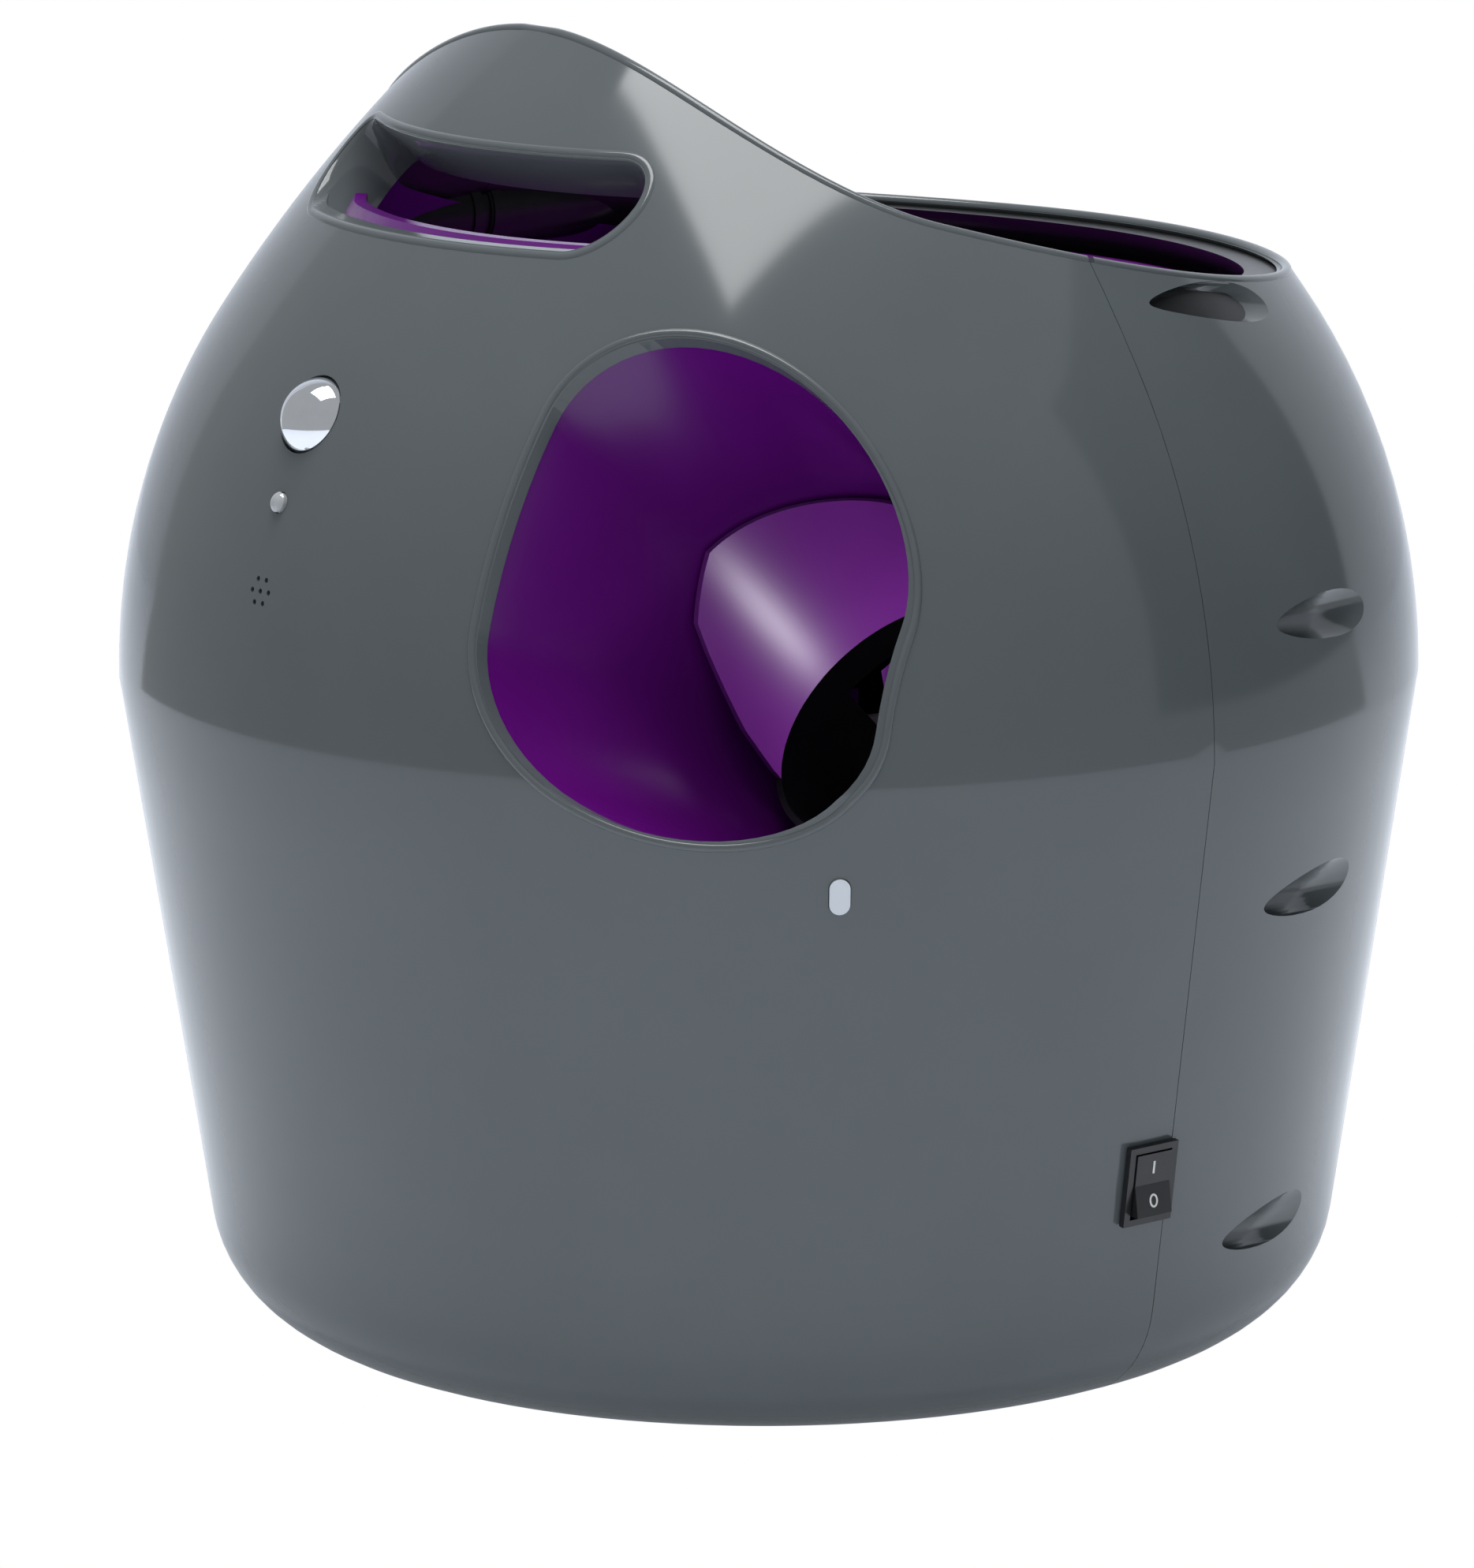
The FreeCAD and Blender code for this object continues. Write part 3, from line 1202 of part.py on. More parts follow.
bezel = block_out(mm.switch_width, mm.switch_length, 0.3, 0.3 + mm.bezel_thickness)
switch_can = block_out(switch_body_width, switch_body_length, -mm.switch_depth, 0.4)
rocker_room = block_out(2 * mm.rocker_half_width + 0.6, 2 * mm.rocker_half_length + 1.6,
                        -mm.rocker_well_depth, WALL_REACH)
pin_height = -mm.rocker_pin_radius / 2
pin_half = switch_body_width / 2 - mm.rocker_pin_radius / 2
pin_hole = Part.makeCylinder(mm.rocker_pin_radius + mm.running_gap, 2 * pin_half,
                             Vector(-pin_half, 0, pin_height), AXIS_X)
switch = bezel.fuse(switch_can).cut([rocker_room, pin_hole])
piece("switch_body", solid("switch_body_solid", switch.removeSplitter()), switch_place)
ROCKER_LOW, ROCKER_DIP, ROCKER_TOP = 0.8, 2.3, 3.4
half_length = mm.rocker_half_length
rocker_root = -mm.rocker_well_depth / 2
rocker = face_of([Vector(-mm.rocker_half_width, along, height) for along, height in (
    (-half_length, ROCKER_LOW), (-half_length, ROCKER_TOP), (0, ROCKER_DIP),
    (half_length, ROCKER_TOP), (half_length, ROCKER_LOW),
    (half_length / 2, rocker_root), (-half_length / 2, rocker_root))])
rocker = rocker.extrude(Vector(2 * mm.rocker_half_width, 0, 0))
pin_end = pin_half - mm.seat_gap / 2
pin = Part.makeCylinder(mm.rocker_pin_radius, 2 * pin_end, Vector(-pin_end, 0, pin_height), AXIS_X)
rocker = rocker.fuse(pin)
rocker.rotate(Vector(0, 0, pin_height), AXIS_X, -mm.rocker_travel / 2)
piece("switch_rocker", solid("rocker", rocker.removeSplitter()), switch_place)


# Power inlet at the back

jack_surface = surface_radius(mm.jack_height)
jack = cut(
    "jack",
    fuse("jack_outside",
         rod("jack_barrel", "Y", ("0", "jack_height"),
             (f"{jack_surface} - jack_length", f"{jack_surface} + 0.6"), "jack_radius"),
         rod("jack_flange", "Y", ("0", "jack_height"),
             (f"{jack_surface} - jack_length", f"{jack_surface} - shell_wall - 1.8"),
             "jack_radius + jack_flange")),
    cut("jack_hollow",
        rod("jack_hole", "Y", ("0", "jack_height"),
            (f"{jack_surface} - jack_length + jack_end_wall", jack_surface + 2), "jack_bore"),
        rod("jack_pin", "Y", ("0", "jack_height"),
            (f"{jack_surface} - jack_length + jack_end_wall", f"{jack_surface} - 1"),
            "jack_pin_radius")))
piece("power_inlet", jack)


# Screws and feet

def screw_set(name, places):
    shapes = []
    for x, z in places:
        start = mm.well_floor + mm.running_gap
        head = Part.makeCylinder(mm.screw_head_radius, mm.screw_head_height, Vector(x, start, z),
                                 AXIS_Y)
        top = start + mm.screw_head_height - mm.cross_depth
        recess = Part.makeBox(mm.cross_length, 2 * mm.cross_depth, mm.cross_width,
                              Vector(x - mm.cross_length / 2, top, z - mm.cross_width / 2))
        cross = Part.makeBox(mm.cross_width, 2 * mm.cross_depth, mm.cross_length,
                             Vector(x - mm.cross_width / 2, top, z - mm.cross_length / 2))
        shank = Part.makeCylinder(mm.screw_radius, mm.screw_length + 1,
                                  Vector(x, start - mm.screw_length, z), AXIS_Y)
        shapes.append(head.fuse(shank).cut([recess, cross]))
    return solid(name, Part.makeCompound(shapes))


piece("case_screws", screw_set("screws", well_places))

base_screws = []
for x, y in base_screw_places:
    head = Part.makeCylinder(mm.base_screw_head_radius, SCREW_SINK - 0.2,
                             Vector(x, y, mm.foot_height + 0.15), AXIS_Z)
    shank = Part.makeCylinder(mm.screw_radius, 2 * mm.base_thickness - 1.2,
                              Vector(x, y, mm.foot_height + 0.3), AXIS_Z)
    slot_one = Part.makeBox(mm.cross_length, mm.cross_width, mm.cross_width,
                            Vector(x - mm.cross_length / 2, y - mm.cross_width / 2, mm.foot_height))
    slot_two = Part.makeBox(mm.cross_width, mm.cross_length, mm.cross_width,
                            Vector(x - mm.cross_width / 2, y - mm.cross_length / 2, mm.foot_height))
    base_screws.append(head.fuse(shank).cut([slot_one, slot_two]))
piece("base_screws", solid("base_screw_set", Part.makeCompound(base_screws)))

for number, turn in enumerate((45, 135, 225, 315), 1):
    foot = doc.addObject("PartDesign::Body", f"foot_body_{number}")
    plane = [entry for entry in foot.Origin.OriginFeatures if entry.Role == "XY_Plane"][0]
    round_sketch = foot.newObject("Sketcher::SketchObject", f"foot_circle_{number}")
    round_sketch.AttachmentSupport = [(plane, "")]
    round_sketch.MapMode = "FlatFace"
    round_sketch.addGeometry(Part.Circle(Vector(0, 0, 0), AXIS_Z, mm.foot_radius), False)
    round_sketch.addConstraint(Sketcher.Constraint("Coincident", 0, 3, -1, 1))
    round_sketch.addConstraint(Sketcher.Constraint("Radius", 0, mm.foot_radius))
    round_sketch.setExpression("Constraints[1]", "Sizes.foot_radius")
    foot_pad = foot.newObject("PartDesign::Pad", f"foot_pad_{number}")
    foot_pad.Profile = round_sketch
    bind(foot_pad, "Length", "foot_height")
    doc.recompute()
    bottom = [f"Edge{index}" for index, edge in enumerate(foot_pad.Shape.Edges, 1)
              if edge.BoundBox.ZMax < mm.foot_height / 2]
    edge_round = foot.newObject("PartDesign::Fillet", f"foot_edge_{number}")
    edge_round.Base = (foot_pad, bottom)
    bind(edge_round, "Radius", "foot_edge")
    foot.Tip = edge_round
    angle = math.radians(turn)
    piece(f"foot_{number}", foot, Placement(Vector(mm.foot_circle * math.cos(angle),
                                                   mm.foot_circle * math.sin(angle), 0),
                                            Rotation()))


# Check every object and write each piece

doc.recompute()
for item in doc.Objects:
    if "Invalid" in item.State or "Error" in item.State:
        raise RuntimeError(f"{item.Name} ({item.Label}) failed")
for item in pieces:
    shape = item.Shape
    if shape.isNull() or not shape.isValid() or not shape.Solids:
        raise RuntimeError(f"{item.Label} has no valid solid")
    shape.exportStep(f"parts/{item.Label}.step")
    box_of = shape.BoundBox
    print(f"{item.Label:18s} solids {len(shape.Solids)}  volume {shape.Volume:10.0f}  "
          f"x {box_of.XMin:.1f} {box_of.XMax:.1f}  y {box_of.YMin:.1f} {box_of.YMax:.1f}  "
          f"z {box_of.ZMin:.1f} {box_of.ZMax:.1f}")
print(len(pieces), "pieces")
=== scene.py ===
import json
import math

import bmesh
import bpy
from mathutils import Matrix, Vector


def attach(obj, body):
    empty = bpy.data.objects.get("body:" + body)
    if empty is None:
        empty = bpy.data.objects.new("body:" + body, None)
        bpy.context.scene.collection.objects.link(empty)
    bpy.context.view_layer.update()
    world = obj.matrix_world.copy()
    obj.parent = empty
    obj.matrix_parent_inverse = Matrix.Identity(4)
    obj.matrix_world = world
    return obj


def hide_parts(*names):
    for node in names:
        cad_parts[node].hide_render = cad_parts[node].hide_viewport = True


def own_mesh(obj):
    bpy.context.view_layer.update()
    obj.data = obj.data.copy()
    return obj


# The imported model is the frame. All lengths are in metres, the front is -Y and the floor is z = 0.
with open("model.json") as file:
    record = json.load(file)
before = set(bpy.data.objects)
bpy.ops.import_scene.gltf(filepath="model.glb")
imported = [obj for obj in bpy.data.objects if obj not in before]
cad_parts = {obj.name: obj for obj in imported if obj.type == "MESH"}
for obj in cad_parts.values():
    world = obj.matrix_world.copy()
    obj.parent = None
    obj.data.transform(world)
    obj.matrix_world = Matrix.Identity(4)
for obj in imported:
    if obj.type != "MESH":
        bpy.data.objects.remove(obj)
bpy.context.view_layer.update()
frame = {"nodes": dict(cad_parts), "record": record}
nodes = frame["nodes"]
scene = bpy.context.scene


# Camera: place, aim and focal length were fitted to the body's outline in the photograph.
PHOTO_FOCAL = 10083.46
PHOTO_LONG_SIDE = 1988
camera_data = bpy.data.cameras.new("photo_camera")
camera = bpy.data.objects.new("photo_camera", camera_data)
scene.collection.objects.link(camera)
camera_data.sensor_width = 36
camera_data.lens = camera_data.sensor_width * PHOTO_FOCAL / PHOTO_LONG_SIDE
camera_data.clip_start, camera_data.clip_end = 0.1, 60
right = Vector((0.64398, 0.76501, -0.00696))
up = Vector((-0.16233, 0.14553, 0.97595))
turn = Matrix((right, up, right.cross(up))).transposed().to_4x4()
camera.matrix_world = Matrix.Translation((1.51496, -1.28205, 0.58112)) @ turn
scene.camera = camera


# Light: a large square softbox overhead, a dim room, and white all round for the camera.
scene.view_settings.view_transform = "Standard"
world = bpy.data.worlds.new("studio")
scene.world = world
world.use_nodes = True
tree = world.node_tree
tree.nodes.clear()
path = tree.nodes.new("ShaderNodeLightPath")
room = tree.nodes.new("ShaderNodeBackground")
room.inputs["Color"].default_value = (0.93, 0.96, 1.0, 1)
room.inputs["Strength"].default_value = 0.42
white = tree.nodes.new("ShaderNodeBackground")
white.inputs["Color"].default_value = (1, 1, 1, 1)
white.inputs["Strength"].default_value = 1.0
mix = tree.nodes.new("ShaderNodeMixShader")
output = tree.nodes.new("ShaderNodeOutputWorld")
tree.links.new(path.outputs["Is Camera Ray"], mix.inputs["Fac"])
tree.links.new(room.outputs[0], mix.inputs[1])
tree.links.new(white.outputs[0], mix.inputs[2])
tree.links.new(mix.outputs[0], output.inputs["Surface"])


def softbox(name, place, target, size, power, spin=0.0, color=(1, 1, 1)):
    """A square area lamp that faces a point, turned about its own axis."""
    data = bpy.data.lights.new(name, "AREA")
    data.shape = "RECTANGLE"
    data.size, data.size_y = size
    data.energy = power
    data.color = color
    lamp = bpy.data.objects.new(name, data)
    scene.collection.objects.link(lamp)
    aim = (Vector(target) - Vector(place)).to_track_quat("-Z", "Y")
    lamp.matrix_world = (Matrix.Translation(place) @ aim.to_matrix().to_4x4()
                         @ Matrix.Rotation(math.radians(spin), 4, "Z"))
    return lamp


softbox("overhead_softbox", (0.07, -0.08, 1.9), (0.07, -0.08, 0), (1.15, 1.15), 30, spin=-8)


# Materials: every one is procedural, in the record's slots, and mapped by object coordinates.
def material(name, color, roughness, metallic=0.0, grain=0.0, grain_scale=300.0, bump=0.0,
             transmission=0.0, ior=1.5, coat=0.0, sheen=0.0):
    """A Principled finish; grain varies the colour a little and bump roughens the surface."""
    made = bpy.data.materials.new(name)
    made.use_nodes = True
    graph = made.node_tree
    shader = graph.nodes["Principled BSDF"]
    shader.inputs["Base Color"].default_value = (*color, 1)
    shader.inputs["Roughness"].default_value = roughness
    shader.inputs["Metallic"].default_value = metallic
    shader.inputs["IOR"].default_value = ior
    shader.inputs["Transmission Weight"].default_value = transmission
    shader.inputs["Coat Weight"].default_value = coat
    shader.inputs["Coat Roughness"].default_value = 0.08
    shader.inputs["Sheen Weight"].default_value = sheen
    if grain or bump:
        place = graph.nodes.new("ShaderNodeTexCoord")
        noise = graph.nodes.new("ShaderNodeTexNoise")
        noise.inputs["Scale"].default_value = grain_scale
        noise.inputs["Detail"].default_value = 3
        graph.links.new(place.outputs["Object"], noise.inputs["Vector"])
        if grain:
            ramp = graph.nodes.new("ShaderNodeValToRGB")
            ramp.color_ramp.elements[0].position = 0.3
            ramp.color_ramp.elements[1].position = 0.7
            ramp.color_ramp.elements[0].color = (*[c * (1 - grain) for c in color], 1)
            ramp.color_ramp.elements[1].color = (*[c * (1 + grain) for c in color], 1)
            graph.links.new(noise.outputs["Fac"], ramp.inputs["Fac"])
            graph.links.new(ramp.outputs["Color"], shader.inputs["Base Color"])
        if bump:
            relief = graph.nodes.new("ShaderNodeBump")
            relief.inputs["Strength"].default_value = 0.4
            relief.inputs["Distance"].default_value = bump
            graph.links.new(noise.outputs["Fac"], relief.inputs["Height"])
            graph.links.new(relief.outputs["Normal"], shader.inputs["Normal"])
    return made


finishes = {
    "case_grey": material("case_grey", (0.098, 0.112, 0.118), 0.1, grain=0.04, grain_scale=22),
    "purple": material("purple", (0.115, 0.004, 0.18), 0.2, grain=0.05, grain_scale=40),
    "black_plastic": material("black_plastic", (0.012, 0.012, 0.013), 0.28, grain=0.15),
    "white_acetal": material("white_acetal", (0.72, 0.72, 0.69), 0.45, grain=0.04),
    "steel": material("steel", (0.6, 0.6, 0.61), 0.28, metallic=1.0, grain=0.08),
    "brass": material("brass", (0.72, 0.5, 0.2), 0.25, metallic=1.0, grain=0.08),
    "rubber": material("rubber", (0.02, 0.02, 0.02), 0.7, grain=0.2, bump=0.0002),
    "pale_rubber": material("pale_rubber", (0.74, 0.76, 0.74), 0.5, grain=0.05),
    "lens": material("lens", (0.9, 0.92, 0.94), 0.04, transmission=1.0, ior=1.49),
    "board_green": material("board_green", (0.02, 0.16, 0.06), 0.35, grain=0.25,
                            grain_scale=120),
    "cell": material("cell", (0.1, 0.1, 0.11), 0.3, metallic=0.4, grain=0.1),
}
slot_of = {row["node"]: row["material_slot"] for row in frame["record"]["subparts"]}
for name, node in nodes.items():
    node.data.materials.clear()
    node.data.materials.append(finishes[slot_of[name]])


# Stage: a table that ends in front of the object, a pale wall behind it and a dark one beside it.
# The camera sees all three as white. The walls stand nearer than the cameras of the views from
# behind, so they hide the object there.
def stage_plane(name, corners, color, glow):
    """A flat stage face that the camera sees as white."""
    mesh = bpy.data.meshes.new(name)
    mesh.from_pydata(corners, [], [tuple(range(len(corners)))])
    made = bpy.data.materials.new(name)
    made.use_nodes = True
    graph = made.node_tree
    graph.nodes.clear()
    diffuse = graph.nodes.new("ShaderNodeBsdfDiffuse")
    diffuse.inputs["Color"].default_value = (*color, 1)
    shine = graph.nodes.new("ShaderNodeEmission")
    shine.inputs["Color"].default_value = (*color, 1)
    shine.inputs["Strength"].default_value = glow
    both = graph.nodes.new("ShaderNodeAddShader")
    plain = graph.nodes.new("ShaderNodeEmission")
    plain.inputs["Color"].default_value = (1, 1, 1, 1)
    seen = graph.nodes.new("ShaderNodeLightPath")
    choose = graph.nodes.new("ShaderNodeMixShader")
    end = graph.nodes.new("ShaderNodeOutputMaterial")
    graph.links.new(diffuse.outputs[0], both.inputs[0])
    graph.links.new(shine.outputs[0], both.inputs[1])
    graph.links.new(seen.outputs["Is Camera Ray"], choose.inputs["Fac"])
    graph.links.new(both.outputs[0], choose.inputs[1])
    graph.links.new(plain.outputs[0], choose.inputs[2])
    graph.links.new(choose.outputs[0], end.inputs["Surface"])
    mesh.materials.append(made)
    plane = bpy.data.objects.new(name, mesh)
    scene.collection.objects.link(plane)
    return plane


def compass(azimuth, distance, height):
    """A point at an azimuth from the front towards the right, in degrees."""
    angle = math.radians(azimuth)
    return (distance * math.sin(angle), -distance * math.cos(angle), height)


def stage_wall(name, sides, color, glow):
    """An upright stage face between two azimuths."""
    foot = [compass(azimuth, WALL_REACH, 0) for azimuth in sides]
    stage_plane(name, [foot[0], foot[1], (foot[1][0], foot[1][1], WALL_HEIGHT),
                       (foot[0][0], foot[0][1], WALL_HEIGHT)], color, glow)


TABLE_REACH, TABLE_LEFT, TABLE_RIGHT = 0.95, -86, 170
FAR_REACH, FAR_TURN = 1.6, -138
WALL_REACH, WALL_HEIGHT = 2.4, 2.3
WALL_SIDES = (-86, -190)
FLAG_SIDES = (118, 172)
table_edge = [compass(azimuth, TABLE_REACH, 0)
              for azimuth in range(TABLE_LEFT, TABLE_RIGHT + 1, 8)]
stage_plane("floor", table_edge + [compass(TABLE_RIGHT, WALL_REACH, 0),
                                   compass(FAR_TURN, FAR_REACH * WALL_REACH, 0),
                                   compass(TABLE_LEFT, WALL_REACH, 0)], (0.82, 0.86, 0.92), 0.2)
stage_wall("backdrop", WALL_SIDES, (0.5, 0.52, 0.56), 0.6)
stage_wall("dark_flag", FLAG_SIDES, (0.02, 0.02, 0.02), 0)


# Outline: the body's radius by height, from the same arcs as the model, here in millimetres.
CORNER_TOP, CORNER_RADIUS, CORNER_HEIGHT, CORNER_REACH = 30.3, 32, 35, 112.95
BASE_HEIGHT, BASE_RADIUS = 3, 140.2
FLARE = 24.8 / 167.5
BELLY_HEIGHT, LOWER_DOME, LOWER_INSET = 170.5, 168, 3
DOME_JOIN, UPPER_DOME, UPPER_HEIGHT, UPPER_INSET = 263, 390, 48.3, 188.34


def skin_radius(height):
    """Radius of the body's outside at a height, in metres."""
    mm = height * 1000
    if mm < CORNER_TOP:
        fall = CORNER_HEIGHT - mm
        return (CORNER_REACH + math.sqrt(max(CORNER_RADIUS ** 2 - fall ** 2, 0))) / 1000
    if mm < BELLY_HEIGHT:
        return (BASE_RADIUS + FLARE * (mm - BASE_HEIGHT)) / 1000
    if mm < DOME_JOIN:
        return (math.sqrt(LOWER_DOME ** 2 - (mm - BELLY_HEIGHT) ** 2) - LOWER_INSET) / 1000
    return (math.sqrt(UPPER_DOME ** 2 - (mm - UPPER_HEIGHT) ** 2) - UPPER_INSET) / 1000


def skin_normal(place):
    """The outside's direction at a place on it."""
    step = 1e-4
    slope = (skin_radius(place.z + step) - skin_radius(place.z - step)) / (2 * step)
    reach = math.hypot(place.x, place.y)
    return Vector((place.x / reach, place.y / reach, -slope)).normalized()


def on_skin(start, direction):
    """Where a line from inside the body meets its outside."""
    low, high = 0.0, 0.4
    for _ in range(40):
        middle = (low + high) / 2
        place = start + direction * middle
        inside = (0.003 < place.z < 0.34
                  and math.hypot(place.x, place.y) < skin_radius(place.z))
        low, high = (middle, high) if inside else (low, middle)
    return start + direction * low


def add_piece(name, points, faces, finish, body="root", smooth=True):
    """A closed mesh that rides on a body and takes one of the record's finishes."""
    mesh = bpy.data.meshes.new(name)
    mesh.from_pydata([tuple(point) for point in points], [], faces)
    work = bmesh.new()
    work.from_mesh(mesh)
    bmesh.ops.recalc_face_normals(work, faces=work.faces[:])
    work.to_mesh(mesh)
    work.free()
    mesh.materials.append(finishes[finish])
    for polygon in mesh.polygons:
        polygon.use_smooth = smooth
    if smooth:
        mesh.set_sharp_from_angle(angle=math.radians(35))
    made = bpy.data.objects.new(name, mesh)
    scene.collection.objects.link(made)
    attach(made, body)
    return made


def loft_faces(count, sides, closed):
    """Faces between neighbouring rings of points, with end caps where it isn't closed."""
    faces = []
    for index in range(count if closed else count - 1):
        after = (index + 1) % count
        for corner in range(sides):
            beside = (corner + 1) % sides
            faces.append((index * sides + corner, index * sides + beside,
                          after * sides + beside, after * sides + corner))
    if not closed:
        faces.append(tuple(range(sides)))
        faces.append(tuple((count - 1) * sides + corner for corner in range(sides)))
    return faces


def sweep(path, outward, profile, closed):
    """Points and faces of a profile carried along a path; it is drawn as (outward, sideways)."""
    points = []
    count, sides = len(path), len(profile)
    for index, place in enumerate(path):
        ahead = path[(index + 1) % count] if closed or index + 1 < count else place
        behind = path[index - 1] if closed or index else place
        along = (ahead - behind).normalized()
        out = (outward[index] - along * outward[index].dot(along)).normalized()
        side = along.cross(out)
        points += [place + out * u + side * v for u, v in profile]
    return points, loft_faces(count, sides, closed)


def round_profile(radius, lift=0.0, sides=14):
    """A circle for sweep, moved outward by the lift."""
    return [(lift + radius * math.sin(2 * math.pi * k / sides),
             radius * math.cos(2 * math.pi * k / sides)) for k in range(sides)]


# Port lip: the port's edge is rounded over, which the photo shows as a thin light line.
PIVOT = Vector((0.1035, -0.0357, 0.1682))
PORT_RADIUS = 0.0366
TILT_LOW, TILT_HIGH = 20, 45
ARC_STEPS, SIDE_STEPS = 48, 16
PORT_LIP_OUT, PORT_LIP_RADIUS, PORT_LIP_SINK = 0.0014, 0.0011, 0.0004


def barrel_axes(tilt):
    """The barrel's pointing direction and the one above it, at a tilt in degrees."""
    angle = math.radians(tilt)
    return (Vector((0, -math.cos(angle), math.sin(angle))),
            Vector((0, math.sin(angle), math.cos(angle))))


def port_outline(radius):
    """The port's edge on the outside, for a barrel of that radius."""
    edge = []
    for tilt, first in ((TILT_HIGH, 0), (TILT_LOW, 180)):
        ahead, above = barrel_axes(tilt)
        for step in range(ARC_STEPS + 1):
            angle = math.radians(first + 180 * step / ARC_STEPS)
            start = PIVOT + Vector((1, 0, 0)) * radius * math.cos(angle)
            edge.append(on_skin(start + above * radius * math.sin(angle), ahead))
        side = -1 if tilt == TILT_HIGH else 1
        steps = list(range(1, SIDE_STEPS))
        for step in steps if tilt == TILT_HIGH else steps[::-1]:
            between = TILT_HIGH + (TILT_LOW - TILT_HIGH) * step / SIDE_STEPS
            edge.append(on_skin(PIVOT + Vector((side * radius, 0, 0)), barrel_axes(between)[0]))
    return edge


port_edge = port_outline(PORT_RADIUS + PORT_LIP_OUT)
add_piece("port_lip", *sweep(port_edge, [skin_normal(place) for place in port_edge],
                             round_profile(PORT_LIP_RADIUS, -PORT_LIP_SINK), True), "case_grey")


# Handle slot lip: a bull-nose round the slot that runs in to the bowl's wall.
NOSE, NOSE_LIFT, NOSE_INSET = 0.0016, 0.0004, 0.0003
LIP_DEPTH, LIP_FACE, LIP_BACK = 0.0155, 0.0006, 0.0008
END_STEPS, STRAIGHT_STEPS = 24, 16
SLOT_HALF, SLOT_LOW, SLOT_HIGH = 0.0585, 0.292, 0.3123
slot_radius = (SLOT_HIGH - SLOT_LOW) / 2
slot_edge = []
for end in (1, -1):
    for step in range(END_STEPS + 1):
        angle = math.radians(-90 + 180 * step / END_STEPS)
        x = end * (SLOT_HALF - slot_radius + slot_radius * math.cos(angle))
        z = SLOT_LOW + slot_radius + end * slot_radius * math.sin(angle)
        slot_edge.append(Vector((x, 0, z)))
    for step in range(1, 2 * STRAIGHT_STEPS):
        x = end * (SLOT_HALF - slot_radius) * (1 - step / STRAIGHT_STEPS)
        slot_edge.append(Vector((x, 0, SLOT_HIGH if end > 0 else SLOT_LOW)))
slot_edge = [Vector((place.x, -math.sqrt(skin_radius(place.z) ** 2 - place.x ** 2), place.z))
             for place in slot_edge]
slot_profile = [(-LIP_DEPTH, -LIP_FACE), (-NOSE, -LIP_FACE)]
slot_profile += [(NOSE_LIFT - NOSE + NOSE * math.sin(math.radians(turn)),
                  NOSE - NOSE_INSET - NOSE * math.cos(math.radians(turn)))
                 for turn in range(15, 181, 15)]
slot_profile += [(-NOSE - LIP_BACK, 2 * NOSE - NOSE_INSET), (-NOSE - LIP_BACK, LIP_BACK),
                 (-LIP_DEPTH, LIP_BACK)]
add_piece("slot_lip", *sweep(slot_edge, [skin_normal(place) for place in slot_edge],
                             slot_profile, True), "case_grey")


# Rim bead: the hopper mouth's edge is fully round, in a front and a rear piece.
SWEEP_CENTRE, SWEEP_RADIUS = (0.1464, 0.8683), 0.6
BEND_CENTRE, BEND_RADIUS = (-0.019, 0.34795), 0.054
HALF_WALL = 0.0015
RIM_STEPS, RIM_SPACING = 1500, 0.003
RIM_TOP, SKIN_TOP, SEAM_HALF = 0.3372, 0.338, 0.0001


def rim_outline():
    """Places of the rim's side view from the rear to the hump, with the way up from it."""
    meet = math.atan2(BEND_CENTRE[1] - SWEEP_CENTRE[1], BEND_CENTRE[0] - SWEEP_CENTRE[0])
    for centre, radius, start, end in ((SWEEP_CENTRE, SWEEP_RADIUS, math.radians(-88), meet),
                                       (BEND_CENTRE, BEND_RADIUS, meet, -math.pi)):
        for step in range(RIM_STEPS):
            angle = start + (end - start) * step / RIM_STEPS
            yield (centre[0] + radius * math.cos(angle), centre[1] + radius * math.sin(angle),
                   Vector((0, -math.cos(angle), -math.sin(angle))))


def rim_height(y):
    """Height of the rim at a place along Y, on the long sweep."""
    return SWEEP_CENTRE[1] - math.sqrt(SWEEP_RADIUS ** 2 - (y - SWEEP_CENTRE[0]) ** 2)


def rim_path(front):
    """The rim's mid-wall line from the right side round to the left, for one half."""
    side, ups, last = [], [], None
    for y, z, way_up in rim_outline():
        room = (skin_radius(min(z, SKIN_TOP)) - HALF_WALL) ** 2 - y ** 2
        if room < 0 or (y < -SEAM_HALF) != front or z > RIM_TOP:
            continue
        place = Vector((math.sqrt(room), y, z))
        if last is None or (place - last).length > RIM_SPACING:
            side.append(place)
            ups.append(way_up)
            last = place
    if not front:
        side, ups = side[::-1], ups[::-1]
    mirrored = [Vector((-place.x, place.y, place.z)) for place in side[::-1]]
    return side + mirrored, ups + ups[::-1]


for half, front in (("front", True), ("rear", False)):
    add_piece(f"{half}_rim", *sweep(*rim_path(front), round_profile(HALF_WALL), False),
              "case_grey")


# Black sleeves round the top screw bosses inside the hopper, with a joint on the middle plane.
BOSS_HEIGHT = 0.2725
SLEEVE_RADIUS = 0.0105
SLEEVE_INSET, SKIN_GAP, RIM_GAP = 0.0077, 0.0033, 0.003
SLEEVE_START, SLEEVE_END, SLEEVE_STEP = -0.03, 0.062, 0.004
JOINT_HALF, JOINT_DEPTH = 0.0012, 0.0008
RING_NEAR, RING_FAR, RING_HEIGHT = 0.0018, 0.0048, 0.0006
sleeve_x = skin_radius(BOSS_HEIGHT) - SLEEVE_INSET


